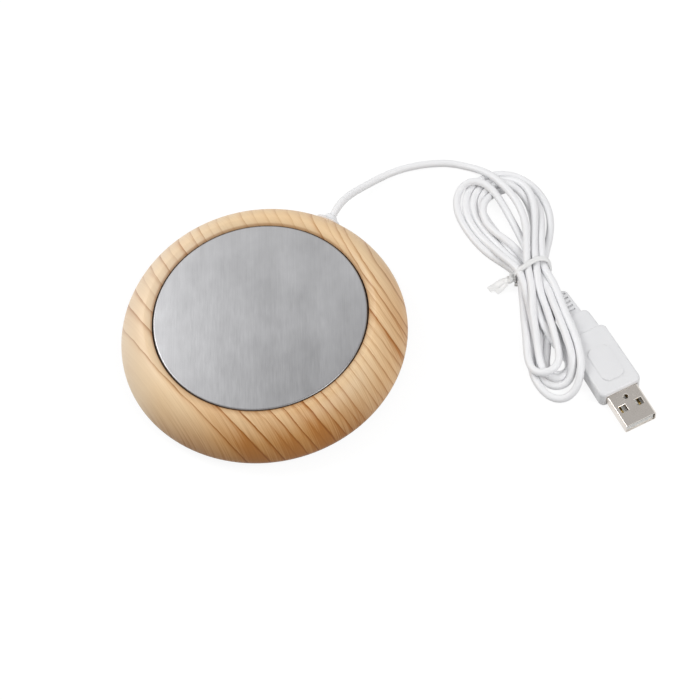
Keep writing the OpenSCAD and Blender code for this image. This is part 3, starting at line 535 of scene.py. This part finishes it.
FINISHES = {
    "wood_ring": wood_print("wood_print"),
    "steel_plate": brushed_sheet("brushed_steel", (0.555, 0.555, 0.568)),
    "base_plastic": moulded(
        "base_plastic", (0.075, 0.06, 0.05), (0.12, 0.1, 0.085), 0.62, grain=0.00006, grain_scale=2500.0,
    ),
    # The rubber's own dark colour is darkened further as painted shade in the gap round the plate.
    "gasket_rubber": moulded("gasket_rubber", (0.014, 0.009, 0.007), (0.03, 0.022, 0.017), 0.75, grain=0.00003),
    "foot_rubber": moulded("foot_rubber", (0.055, 0.055, 0.057), (0.1, 0.1, 0.1), 0.8, grain=0.00005),
    "film": moulded(
        "amber_film", (0.72, 0.36, 0.07), (0.55, 0.24, 0.04), 0.22, scale=90.0, grain=0.00001, Coat_Weight=0.4,
    ),
    "track_metal": bright_metal("etched_foil", (0.72, 0.5, 0.24), (0.55, 0.36, 0.16), 0.38),
    "solder": bright_metal("solder", (0.74, 0.75, 0.76), (0.5, 0.5, 0.5), 0.25, scale=400.0),
    "cutout_case": moulded("cutout_case", (0.84, 0.82, 0.76), (0.72, 0.68, 0.6), 0.4),
    "pad_felt": pressed_felt("needled_felt"),
    "retainer_plastic": moulded("retainer_plastic", (0.6, 0.5, 0.36), (0.5, 0.4, 0.27), 0.55, grain=0.00005),
    "screw_steel": bright_metal("zinc_steel", (0.72, 0.72, 0.71), (0.5, 0.5, 0.48), 0.3),
    "wire_red": moulded("wire_red", (0.62, 0.035, 0.03), (0.45, 0.02, 0.02), 0.4),
    "wire_black": moulded("wire_black", (0.03, 0.03, 0.032), (0.06, 0.06, 0.06), 0.42),
    "cord_white": moulded(
        "cord_white", (0.87, 0.87, 0.88), (0.81, 0.81, 0.825), 0.42, amount=0.4, scale=45.0, grain=0.000012,
    ),
    "grommet_white": moulded("grommet_white", (0.86, 0.86, 0.87), (0.79, 0.79, 0.81), 0.36, grain=0.00001),
    "tie_white": moulded(
        "tie_white", (0.82, 0.82, 0.815), (0.74, 0.74, 0.735), 0.34, scale=260.0, grain=0.00003, grain_scale=1400.0,
    ),
    "plug_white": moulded("plug_white", (0.775, 0.775, 0.785), (0.715, 0.715, 0.73), 0.4, grain=0.00002),
    "plug_steel": bright_metal("plug_steel", (0.77, 0.72, 0.67), (0.62, 0.57, 0.52), 0.26),
    "carrier_plastic": moulded("carrier_plastic", (0.78, 0.78, 0.76), (0.66, 0.66, 0.64), 0.45),
    # The gold is darkened as painted shade inside the shell's windows.
    "contact_gold": bright_metal("contact_gold", (0.5, 0.36, 0.15), (0.36, 0.25, 0.09), 0.3),
}
for part in frame["record"]["subparts"]:
    mesh = solids[part["node"]].data
    mesh.materials.clear()
    mesh.materials.append(FINISHES[part["material_slot"]])


# ---- Cord ----

# The cord's thickness, and where the tie and the plug lie on the table and how they are turned.
CORD_D = 2.8
TIE_AT = (77.5, 63.0)
TIE_TURN = math.radians(-49)
PLUG_AT = (125.9, 30.8)
PLUG_TURN = math.radians(-37.3)
# The plug's blocks, behind its shell in millimetres: start, end, half width and top.
PLUG_BLOCKS = ((-26.5, 0, 8.1, 7.6), (-35, -26.5, 6.3, 7.0), (-46, -35, 3.6, 6.5))
# A strand less than this below a block's top goes over the block, and a lower one beside it.
CLIMBS = 1.6
# The room for the strands in the tie: half its length, half its width, and its lowest and highest strand.
TIE_HOLDS, TIE_HALF, TIE_LOW, TIE_HIGH = 2.4, 4.65, 2.6, 7.25
# How the cord settles: its links' length, the rounds, and the least span of six links at a fold.
LINK = 1.4
ROUNDS = 280
FOLD = 7.4
# Every so many rounds, the strands that have come this close are looked up again.
LOOKED_UP, CLOSE = 5, 4.2
# How strongly bends even out over one link and over three, how far the cord sinks, and its room over the table.
STIFF, STIFF_WIDE, SINKS, CLEAR = 0.35, 0.12, 0.02, 0.05
# How strongly each point is drawn to where it was laid, at first and after this share of the rounds.
DRAWN, DRAWN_LATE, LATE = 0.02, 0.008, 0.6
# The lead stays as laid for this many millimetres and comes free over the next; the plug holds the last points.
LAID, COMES_FREE, IN_PLUG = 55, 25, 6

# Free lead from the grommet along the table, in millimetres.
LEAD = [
    (0, 54.4, 7.6), (0, 58.4, 7.5), (0.1, 62.4, 6.7), (0.6, 66.4, 5.4), (1.7, 70.6, 4), (3.5, 75, 2.8), (6, 80, 1.9),
    (9.5, 85, 1.6), (13.8, 89.4, 1.5), (18.6, 93, 1.5), (22.5, 95.3, 1.5), (26.6, 97.2, 1.5), (31.4, 98.5, 1.5),
]

# The hank's strands in the order in which the cord runs through them.
# u runs along the hank from the tie, v across it and z up, in millimetres.
LEAD_DOWN = [
    (-54.2, -7.4, 2.2), (-49.9, -4.3, 3.9), (-46.5, -2.4, 5.2), (-41, 0.2, 7), (-35.8, 2.3, 8.1), (-29.6, 3.7, 8.4),
    (-23.2, 4, 8.3), (-17.7, 3.3, 8.2), (-11.7, 1.7, 7.9), (-5.2, -0.5, 7.5), (0, -1.5, 7.2),
    (6, -1.6, 7.6), (11.5, -2.7, 7.2), (17.5, -4.2, 6.4), (23.7, -5.3, 5.4), (30, -6.1, 4.6), (35.5, -6.4, 4.2),
]
TURN_A = [
    (39.5, -6.3, 4.3), (42.6, -5.7, 4.3), (44.6, -4.1, 4.3), (44.7, -1.9, 4.3), (42.6, -0.5, 4.3), (39, -0.2, 4.3),
]
FIFTH_UP = [
    (34, -4.2, 1.4), (28, -2.6, 1.4), (21, -0.3, 1.4), (14, 1.2, 1.4), (7, 1.5, 2.2), (0, 1.5, 2.7),
    (-7, -0.6, 3), (-13, -3.4, 4.4), (-20, -7.0, 4.6), (-27, -9.6, 4), (-33, -10.2, 3.8), (-38, -8.2, 3.8),
    (-40.6, -4.6, 3.6), (-41.4, -0.6, 2.6), (-42, 3.2, 1.6),
]
CROSS_DOWN = [
    (-44.8, -6.4, 4.6), (-41.3, -4.7, 4.8), (-36.2, -2.7, 4.8), (-31.5, -1.4, 4.8), (-23.5, 0.1, 4.8),
    (-16.6, 0.7, 4.9), (-8, 0.3, 4.95), (0, 0, 4.95), (7, -0.3, 5.1), (14, -1.3, 5), (21, -2.1, 4),
    (27, -1.9, 3), (31, -0.8, 1.8), (35, 0.3, 1.4),
]
TURN_E = [(38.5, 0.8, 1.4), (41.2, -0.6, 1.4), (41.4, -3.4, 1.4), (38.6, -5, 1.4)]
FOURTH_UP = [
    (34.5, 0.4, 4.2), (28, 0.8, 4), (21, 0.6, 3.7), (15, 0, 3), (9, -0.9, 2.4), (4, -1.4, 2.5), (0, -1.5, 2.7),
    (-6, -2.4, 2.7), (-13.6, -4.4, 2.5), (-21.3, -6, 1.6), (-28.6, -7.9, 1.4), (-34.9, -8.4, 1.4), (-39.8, -7.1, 1.4),
    (-42.7, -4.7, 1.6), (-42.5, -2, 2.6), (-41.5, 0.8, 3.8), (-40.2, 3.6, 4), (-38.9, 6, 3.4), (-35.8, 8.1, 2.6),
]
SECOND_DOWN = [
    (-32.2, 8.5, 2.4), (-26, 7.8, 2.8), (-16.6, 5.7, 3.8), (-8.9, 3.9, 4.6), (0, 3, 4.95), (6, 2.7, 5),
    (12, 2.5, 5.2), (18, 3, 6.6), (23, 3.3, 8), (28, 3.1, 8.7), (34, 2.4, 8.6), (38, 1.6, 7.8), (41.5, 0.9, 6.4),
]
TURN_D = [(43.6, 0.1, 4.6), (45.8, -1.4, 2.6), (47, -3.6, 1.4), (46.6, -5.8, 1.4), (44, -7.1, 1.4), (40, -7.2, 1.4)]
THIRD_UP = [
    (35, -6.4, 1.4), (28, -5.2, 1.4), (21, -3.2, 1.5), (14, -3.2, 2.2), (7, -3, 3.8), (0, -3, 4.95), (-6, -4.4, 4.9),
    (-13.5, -7.1, 4), (-21.4, -9.8, 2.5), (-28.2, -11.7, 1.6), (-35.1, -12, 1.4), (-41.1, -10.6, 1.4),
    (-44.8, -8, 1.4), (-46.6, -4.4, 1.4), (-45.3, -0.8, 2.2), (-43.6, 1.8, 3.6), (-42.8, 4.7, 4.2),
]
RIGHT_DOWN = [
    (-41.2, 6.5, 1.6), (-39.4, 9, 1.6), (-36.4, 10.7, 2), (-32.3, 11.1, 2.8), (-26, 10.8, 4.2), (-18.9, 9.2, 5.6),
    (-11.9, 7, 6.6), (-5.5, 5.2, 7.1), (0, 4.5, 7.2), (5, 4.7, 7.6), (10, 4.9, 8.2), (18.4, 5.1, 8.9),
    (23.2, 5.5, 9.1), (28.8, 6, 9.1), (33.9, 6, 9.1), (38.8, 5.6, 9), (43.5, 4.2, 8.4), (47.9, 2.2, 6.6),
]
TURN_C = [(51, -0.6, 4.8), (52.6, -3.4, 3.2), (52.4, -6, 2.2), (50, -8, 1.8), (46.4, -9.2, 1.4), (41, -9.3, 1.4)]
SECOND_UP = [
    (35, -8.8, 1.4), (28, -7.6, 1.4), (21, -5.6, 2), (15, -4.2, 4), (8, -4.1, 6), (3, -4.5, 6.9), (0, -4.5, 7.2),
    (-6, -6, 6.4), (-12.9, -9.2, 4.5), (-21.2, -12.1, 2.5), (-28.2, -14.4, 1.6), (-34.7, -15.2, 1.4),
    (-40.9, -13.7, 1.4), (-45.7, -10.9, 1.4), (-48, -7.5, 1.4), (-49, -3.7, 1.4), (-49.1, 0.3, 1.6),
]
TOP_DOWN = [
    (-41.6, 7.2, 4.6), (-38.8, 8.9, 5), (-35, 9.7, 5.4), (-31, 9.7, 5.8), (-26.6, 8.8, 6.2),
    (-21.4, 7.2, 6.6), (-12.6, 4.4, 7), (-6.2, 2.1, 7.2), (0, 1.5, 7.2), (4, 1.9, 7.7), (9, 1.7, 7.9),
    (14.7, 1.2, 7.8), (21, 0.8, 7.4), (27.5, 0, 7), (33, -1.3, 6.8),
]
TURN_B = [(38.2, -3.3, 6.4), (41.4, -5.2, 5.7), (42.9, -7.4, 5), (41.6, -9.3, 4.6), (37.8, -9.7, 4.4)]
FIRST_UP = [
    (33, -9.2, 4.3), (27.5, -8.4, 4.2), (20.6, -7.3, 4), (13.7, -6.1, 3.7), (6.6, -5.1, 3.1), (0, -4.5, 2.7),
    (-5, -5.8, 2.7), (-15.6, -11.2, 1.6), (-23.2, -14.6, 1.4), (-29.6, -17.1, 1.4), (-35.1, -18, 1.4),
    (-41.6, -16, 1.6), (-46.2, -13.1, 2.4), (-47.6, -9.9, 3.6),
]
OUTER_DOWN = [
    (-47.8, 4.2, 1.6), (-45.2, 7.7, 1.4), (-41.4, 10.5, 1.4), (-36.4, 12.7, 1.4), (-31.1, 14, 1.4),
    (-25.9, 14.4, 1.4), (-20.8, 13.8, 1.5),
    (-14, 10.7, 2), (-7, 7, 2.5), (0, 4.5, 2.7), (3.2, 4.5, 3.1), (7, 5.2, 3.8), (9.2, 5.65, 3.8), (11.6, 6.2, 3.8),
]


def turned_frame(line, middle, turn):
    """A frame turned on the table: its directions' cosine and sine, and the line's two flat measures in it."""
    c, s = math.cos(turn), math.sin(turn)
    dx, dy = line[:, 0] - middle[0], line[:, 1] - middle[1]
    return c, s, dx * c + dy * s, dy * c - dx * s


def on_hank(points):
    """Hank measures (u, v, z) as places on the table."""
    c, s = math.cos(TIE_TURN), math.sin(TIE_TURN)
    return [(TIE_AT[0] + u * c - v * s, TIE_AT[1] + u * s + v * c, z) for u, v, z in points]


def along_points(points, per=12):
    """A smooth line through the points."""
    p = np.array(points, float)
    p = np.vstack([2 * p[0] - p[1], p, 2 * p[-1] - p[-2]])
    t = np.linspace(0, 1, per, endpoint=False)[:, None]
    runs = []
    for a, b, c, d in zip(p[:-3], p[1:-2], p[2:-1], p[3:]):
        bend, change = 2 * a - 5 * b + 4 * c - d, 3 * b - a - 3 * c + d
        runs.append(0.5 * (2 * b + (c - a) * t + bend * t ** 2 + change * t ** 3))
    return np.vstack(runs + [p[-2:-1]])


def spaced_out(line, step):
    """The same line with its points an even step apart."""
    run = np.concatenate([[0], np.cumsum(np.linalg.norm(np.diff(line, axis=0), axis=1))])
    at = np.linspace(0, run[-1], int(run[-1] / step) + 1)
    return np.stack([np.interp(at, run, line[:, k]) for k in range(3)], axis=1)


def keep_off_plug(line):
    """Lifts the cord onto the plug, or sets it beside it."""
    c, s, x, y = turned_frame(line, PLUG_AT, PLUG_TURN)
    r = CORD_D / 2
    for x0, x1, half, top in PLUG_BLOCKS:
        inside = (x > x0 - r) & (x < x1 + r) & (np.abs(y) < half + r) & (line[:, 2] < top + r)
        # The cord's end runs into the plug.
        inside[-10:] = False
        up = inside & (line[:, 2] > top - CLIMBS)
        line[up, 2] += 0.5 * (top + r - line[up, 2])
        side = inside & ~up
        shift = np.where(y < 0, -1, 1) * (half + r - np.abs(y)) * 0.5
        line[side, 0] += -s * shift[side]
        line[side, 1] += c * shift[side]


def grip_with_tie(line):
    """Packs the strands inside the tie."""
    c, s, u, v = turned_frame(line, TIE_AT, TIE_TURN)
    held = np.abs(u) < TIE_HOLDS
    slip = np.clip(v, -TIE_HALF, TIE_HALF) - v
    line[held, 0] += -s * slip[held]
    line[held, 1] += c * slip[held]
    line[held, 2] = np.clip(line[held, 2], TIE_LOW, TIE_HIGH)


def eased(shift, rounds):
    """Spreads each push over the neighbouring points, as a cord's own stiffness does."""
    for _ in range(rounds):
        shift = np.vstack([shift[:1], (shift[:-2] + 2 * shift[1:-1] + shift[2:]) / 4, shift[-1:]])
    return shift


def unbent(line, reach):
    """How far each point stands off an even bend through its neighbours."""
    sag = np.zeros_like(line)
    sag[reach:-reach] = (line[: -2 * reach] + line[2 * reach :]) / 2 - line[reach:-reach]
    off = np.zeros_like(line)
    off[reach:-reach] = (sag[: -2 * reach] + sag[2 * reach :]) / 2 - sag[reach:-reach]
    return off


def push_apart(line, first, second):
    """Moves strands that lie in each other apart, half the way each."""
    apart = line[second] - line[first]
    far = np.maximum(np.linalg.norm(apart, axis=1), 0.05)
    push = np.clip(CORD_D - far, 0, 1.2)[:, None] * apart / far[:, None] * 0.5
    touching = (np.linalg.norm(push, axis=1, keepdims=True) > 0) * 1.0
    move, touches = np.zeros_like(line), np.zeros((len(line), 1))
    for ends, sign in ((first, -1), (second, 1)):
        np.add.at(move, ends, sign * push)
        np.add.at(touches, ends, touching)
    # Easing thins each push out, which the last factor makes up for.
    return eased(move / np.maximum(touches, 1), 3) * 1.5


def keep_length(line, rest):
    """Draws each link back towards its own length."""
    for _ in range(2):
        link = np.diff(line, axis=0)
        size = np.linalg.norm(link, axis=1)
        slack = ((size - rest) / size * 0.5)[:, None] * link
        line[:-1] += slack * 0.5
        line[1:] -= slack * 0.5


def open_folds(line):
    """Spreads six links that are folded too tightly."""
    wide = line[6:] - line[:-6]
    size = np.linalg.norm(wide, axis=1)
    opened = (np.clip(FOLD - size, 0, 1) / size * 0.25)[:, None] * wide
    spread = np.zeros_like(line)
    spread[6:] += opened
    spread[:-6] -= opened
    return eased(spread, 2)


def settle(line):
    """Lets the strands push each other apart, lie on the table and keep their length."""
    start = line.copy()
    rest = np.linalg.norm(np.diff(line, axis=0), axis=1)
    run = np.concatenate([[0], np.cumsum(rest)])
    free = np.clip((run - LAID) / COMES_FREE, 0, 1)[:, None]
    free[-IN_PLUG:] = 0
    for k in range(ROUNDS):
        if k % LOOKED_UP == 0:
            # Only points that are five links apart or more can touch.
            gaps = np.linalg.norm(line[:, None] - line[None], axis=2)
            first, second = np.nonzero(np.triu(gaps < CLOSE, 5))
        before = line.copy()
        line = line - STIFF * unbent(line, 1) - STIFF_WIDE * unbent(line, 3)
        line += (DRAWN if k < ROUNDS * LATE else DRAWN_LATE) * (start - line)
        line[:, 2] -= SINKS
        line += push_apart(line, first, second)
        keep_length(line, rest)
        line += open_folds(line)
        keep_off_plug(line)
        grip_with_tie(line)
        line[:, 2] = np.maximum(line[:, 2], CORD_D / 2 + CLEAR)
        line = before + (line - before) * free
    for _ in range(10):
        line -= STIFF * unbent(line, 1) * free
    return line


def cord_line():
    """The settled line of the whole cord, in metres."""
    hank = (
        LEAD_DOWN + TURN_A + FOURTH_UP + SECOND_DOWN + TURN_D + THIRD_UP + TOP_DOWN + TURN_B + FIRST_UP
        + CROSS_DOWN + TURN_E + FIFTH_UP + RIGHT_DOWN + TURN_C + SECOND_UP + OUTER_DOWN
    )
    settled = settle(spaced_out(along_points(LEAD + on_hank(hank)), LINK))
    return along_points(settled * MM, 2)


def make_cord(finish):
    """The whole cord from the grommet to the plug's bend relief, as a tube along its settled line."""
    line = cord_line()
    curve = bpy.data.curves.new("usb_cord", "CURVE")
    curve.dimensions = "3D"
    curve.bevel_depth = CORD_D / 2 * MM
    curve.bevel_resolution = 4
    curve.use_fill_caps = True
    spline = curve.splines.new("POLY")
    spline.points.add(len(line) - 1)
    spline.points.foreach_set("co", np.hstack([line, np.ones((len(line), 1))]).astype(np.float32).ravel())
    route = bpy.data.objects.new("cord_route", curve)
    tube = bpy.data.meshes.new_from_object(route)
    bpy.data.objects.remove(route)
    bpy.data.curves.remove(curve)
    tube.name = "usb_cord"
    tube.materials.clear()
    tube.materials.append(finish)
    tube.shade_smooth()
    cord = bpy.data.objects.new("usb_cord", tube)
    bpy.context.collection.objects.link(cord)
    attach(cord, "root")
    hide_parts("cord_lead", "cord_hank", "cord_tail")
    return cord, [tuple(p) for p in line]


# ---- Pieces ----

def add_piece(name, bm, slot, *nodes, corner):
    """Turns a bmesh into a piece that stands for CAD nodes, with soft shading up to the corner angle."""
    mesh = bpy.data.meshes.new(name)
    bm.to_mesh(mesh)
    bm.free()
    mesh.shade_smooth()
    mesh.set_sharp_from_angle(angle=math.radians(corner))
    mesh.materials.append(FINISHES[slot])
    piece = bpy.data.objects.new(name, mesh)
    bpy.context.collection.objects.link(piece)
    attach(piece, "root")
    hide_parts(*nodes)
    return piece


def welded(node):
    """A copy of a solid with its loose triangles joined up."""
    bm = bmesh.new()
    bm.from_mesh(solids[node].data)
    bmesh.ops.remove_doubles(bm, verts=bm.verts, dist=0.004 * MM)
    return bm


def level_shading(piece):
    """Keeps flat faces flat to the eye, so that the bends between them look crisp."""
    weights = piece.modifiers.new("level_shading", "WEIGHTED_NORMAL")
    weights.mode = "FACE_AREA"
    weights.weight = 50
    weights.keep_sharp = True


# The part of the shell's top that holds its windows and latch hole: along the plug, and to each side.
STAMPED_FROM, STAMPED_TO, STAMPED_HALF = 1.0, 11.5, 4.5


def ease_windows(bm):
    """Breaks the stamped edges of the windows and the latch hole in the shell's top."""
    top = max(v.co.z for v in bm.verts)
    to_plug = Matrix.Rotation(-PLUG_TURN, 4, "Z") @ Matrix.Translation((-PLUG_AT[0] * MM, -PLUG_AT[1] * MM, 0))

    def in_field(vert):
        at = to_plug @ vert.co / MM
        return top / MM - at.z < 0.02 and STAMPED_FROM < at.x < STAMPED_TO and abs(at.y) < STAMPED_HALF

    bmesh.ops.dissolve_limit(bm, angle_limit=0.01, verts=bm.verts, edges=bm.edges)
    stamped = [e for e in bm.edges if all(in_field(v) for v in e.verts) and e.calc_face_angle(0) > 1]
    bmesh.ops.bevel(bm, geom=stamped, offset=0.15 * MM, affect="EDGES", segments=1, profile=0.5, material=-1)


for name, node, slot, corner in (
    ("wood_ring", "ring_housing", "wood_ring", 20),
    ("steel_plate", "hot_plate", "steel_plate", 35),
    ("gasket_seal", "plate_gasket", "gasket_rubber", 35),
    ("base_shell", "base_cover", "base_plastic", 30),
    ("cord_collar", "grommet", "grommet_white", 35),
    ("moulded_grip", "plug_grip", "plug_white", 32),
    ("plug_tube", "plug_shell", "plug_steel", 32),
):
    bm = welded(node)
    if name == "plug_tube":
        ease_windows(bm)
    piece = add_piece(name, bm, slot, node, corner=corner)
    if name in ("base_shell", "moulded_grip", "plug_tube"):
        level_shading(piece)


def sweep(bm, section, path):
    """Extrudes a closed section along a row of matrices and closes both ends."""
    ring = [bm.verts.new(path[0] @ Vector((x, y, 0))) for x, y in section]
    rim = [bm.edges.new((ring[i - 1], ring[i])) for i in range(len(ring))]
    start = rim
    for here, there in zip(path, path[1:]):
        step = bmesh.ops.extrude_edge_only(bm, edges=rim)["geom"]
        moved = {v for v in step if isinstance(v, bmesh.types.BMVert)}
        bmesh.ops.transform(bm, matrix=there @ here.inverted(), verts=list(moved))
        rim = [e for e in step if isinstance(e, bmesh.types.BMEdge) and set(e.verts) <= moved]
    for edges in (start, rim):
        bmesh.ops.holes_fill(bm, edges=edges, sides=0)
    bmesh.ops.recalc_face_normals(bm, faces=bm.faces)


# The tie's flat wire-cored strip, in the hank's own u, v, z millimetres.
TIE_BAND = [
    (-1.0, -6.3, 6.0), (-1.2, -5, 7.6), (-1.4, -3.1, 8.4), (-2.2, -0.5, 9.0), (-2.8, 2.6, 9.2), (-2.5, 4.9, 9.0),
    (-1.7, 6.3, 8.3), (-0.7, 6.7, 7), (0.2, 6.6, 5.6), (0.3, 6.4, 3.9), (0.2, 5.6, 2), (0.1, 4, 0.9), (0, 0, 0.75),
    (0, -3.6, 0.8), (0.2, -5.4, 1.3), (0.6, -6.4, 2.2),
]
TIE_KNOT = [(-2.9, -3.8, 4), (-2.1, -5.9, 3.5), (-1.3, -8.1, 3)]
TIE_TAILS = [
    [(-0.4, -16.3, 0.7), (-1.1, -13.8, 1.0), (-1.5, -11.8, 1.8), (-1.4, -9.8, 2.5)],
    [(-0.9, -9.6, 2.6), (-0.2, -10.7, 1.9), (0.6, -12.4, 1.1), (1.2, -14.1, 0.7)],
]
# Half the strip's width and half its thickness, and how much wider and thinner its loose tails are.
TIE_WIDE, TIE_THICK = 1.05, 0.6
TAIL_WIDER, TAIL_THINNER = 0.35, 0.45
# The twist in the knot: its radius, its turns and the turn at which it starts.
TWIST_R = 0.95
TWIST_TURNS = 1.25
TWIST_START = 0.4
# Points to each stretch of the tie's line, and how many of them the strip takes to widen into a tail.
TIE_PER, TAIL_OPENS = 4, 6


def twisted(line, phase, turns):
    """One of the two strands that the knot twists round each other: places, and each one's turn in degrees."""
    points = []
    for k, (u, v, z) in enumerate(line):
        a = phase + turns * 2 * math.pi * k / (len(line) - 1)
        points.append((u + TWIST_R * math.cos(a), v, z + TWIST_R * math.sin(a), math.degrees(a)))
    return points


def flat(points):
    """Places of the strip where it isn't turned."""
    return [(*p, 0) for p in points]


def tie_path():
    """Where the strip's section stands at each step, which way it faces and how wide it is."""
    knot = along_points(TIE_KNOT, 5)[::-1]
    first = twisted(knot, TWIST_START, TWIST_TURNS)
    second = twisted(knot[::-1], TWIST_START + math.pi + TWIST_TURNS * 2 * math.pi, -TWIST_TURNS)
    line = along_points(flat(TIE_TAILS[0]) + first + flat(TIE_BAND) + second + flat(TIE_TAILS[1]), TIE_PER)
    places = np.array(on_hank([tuple(p[:3]) for p in line])) * MM
    across = Vector((math.cos(TIE_TURN), math.sin(TIE_TURN), 0))
    tail_a, tail_b = TIE_PER * len(TIE_TAILS[0]), len(line) - TIE_PER * len(TIE_TAILS[1])
    path = []
    for k, place in enumerate(places):
        ahead = Vector(places[min(k + 1, len(places) - 1)] - places[max(k - 1, 0)]).normalized()
        side = (across - ahead * across.dot(ahead)).normalized()
        side.rotate(Quaternion(ahead, math.radians(line[k][3])))
        # The tails are wider and flatter than the strip that is pulled tight.
        loose = min(max(0.0, (tail_a - k) / TAIL_OPENS, (k - tail_b) / TAIL_OPENS), 1.0)
        size = Matrix.Diagonal((1 + TAIL_WIDER * loose, 1 - TAIL_THINNER * loose, 1, 1))
        facing = Matrix((side, ahead.cross(side), ahead)).transposed().to_4x4()
        path.append(Matrix.Translation(Vector(place)) @ facing @ size)
    return path


def make_tie():
    """White plastic strip with a wire core, twisted shut beside the hank."""
    bm = bmesh.new()
    oval = [2 * math.pi * k / 12 for k in range(12)]
    sweep(bm, [(TIE_WIDE * math.cos(a) * MM, TIE_THICK * math.sin(a) * MM) for a in oval], tie_path())
    return add_piece("wire_tie", bm, "tie_white", "twist_tie", corner=60)


tie = make_tie()
cord, cord_route = make_cord(FINISHES["cord_white"])


# ---- Floor and lights ----

# The floor's tone for the light that it throws up, and for the eye, where a glow makes it white but for the shadow.
FLOOR_TONE = 0.45
SEEN_TONE, SEEN_GLOW = 0.15, 0.89
# The room's light in front of the object and behind it, and what metal shows of the room low down and overhead.
ROOM_FRONT, ROOM_BACK = 0.37, 0.55
SHOWN_LOW, SHOWN_OVERHEAD = 1.0, 0.42
# Soft lamps: place and width in metres, and power in watts. Both are turned to the middle of the object.
LAMPS = {
    "left_light": ((-0.67, -0.03, 0.64), 0.5, 3.7),
    "right_light": ((0.62, -0.06, 0.66), 0.5, 3.2),
}
LAMP_AIM = Vector((0.03, 0, 0))


def seen_ray(tree):
    """One on a ray that shows the background: seen directly, in metal or through something clear."""
    ray = put(tree, "LightPath").outputs
    mirrored = maths(tree, "MAXIMUM", ray["Is Glossy Ray"], ray["Is Transmission Ray"])
    return maths(tree, "MAXIMUM", ray["Is Camera Ray"], mirrored)


def plain_floor():
    """A pale floor that shows as white and keeps the object's shadow."""
    bm = bmesh.new()
    bmesh.ops.create_grid(bm, x_segments=1, y_segments=1, size=3)
    mesh = bpy.data.meshes.new("studio_floor")
    bm.to_mesh(mesh)
    bm.free()
    floor = bpy.data.objects.new("studio_floor", mesh)
    bpy.context.collection.objects.link(floor)
    material = bpy.data.materials.new("studio_floor")
    material.use_nodes = True
    tree = material.node_tree
    tree.nodes.clear()
    matt = put(tree, "BsdfDiffuse", {"Color": (FLOOR_TONE, FLOOR_TONE, FLOOR_TONE, 1)})
    shade = put(tree, "BsdfDiffuse", {"Color": (SEEN_TONE, SEEN_TONE, SEEN_TONE, 1)})
    glow = put(tree, "Emission", {"Strength": SEEN_GLOW})
    seen = put(tree, "AddShader", {0: shade.outputs[0], 1: glow.outputs[0]})
    mix = put(tree, "MixShader", {0: seen_ray(tree), 1: matt.outputs[0], 2: seen.outputs[0]})
    put(tree, "OutputMaterial", {"Surface": mix.outputs[0]})
    mesh.materials.append(material)


def soft_lights():
    """Two soft lamps high on the sides, and a room that is darker in front than behind."""
    world = bpy.data.worlds.new("studio_world")
    bpy.context.scene.world = world
    world.use_nodes = True
    room = world.node_tree
    way = put(room, "TexCoord").outputs["Generated"]
    lit = ranged(room, dot(room, way, (-0.474, 0.88, 0.3)), -0.9, 0.9, ROOM_FRONT, ROOM_BACK)
    shown = ranged(room, dot(room, way, (-0.1, 0, 0.99)), 0.6, 0.95, SHOWN_LOW, SHOWN_OVERHEAD)
    strength = put(room, "Mix", {0: seen_ray(room), 2: lit, 3: shown}).outputs[0]
    room.links.new(strength, room.nodes["Background"].inputs["Strength"])
    room.nodes["Background"].inputs["Color"].default_value = (1, 1, 1, 1)
    for name, (spot, size, power) in LAMPS.items():
        lamp = bpy.data.lights.new(name, "AREA")
        lamp.shape = "DISK"
        lamp.size = size
        lamp.energy = power
        holder = bpy.data.objects.new(name, lamp)
        bpy.context.collection.objects.link(holder)
        holder.location = spot
        holder.rotation_euler = (LAMP_AIM - Vector(spot)).to_track_quat("-Z", "Y").to_euler()


plain_floor()
soft_lights()
bpy.context.scene.view_settings.view_transform = "Standard"
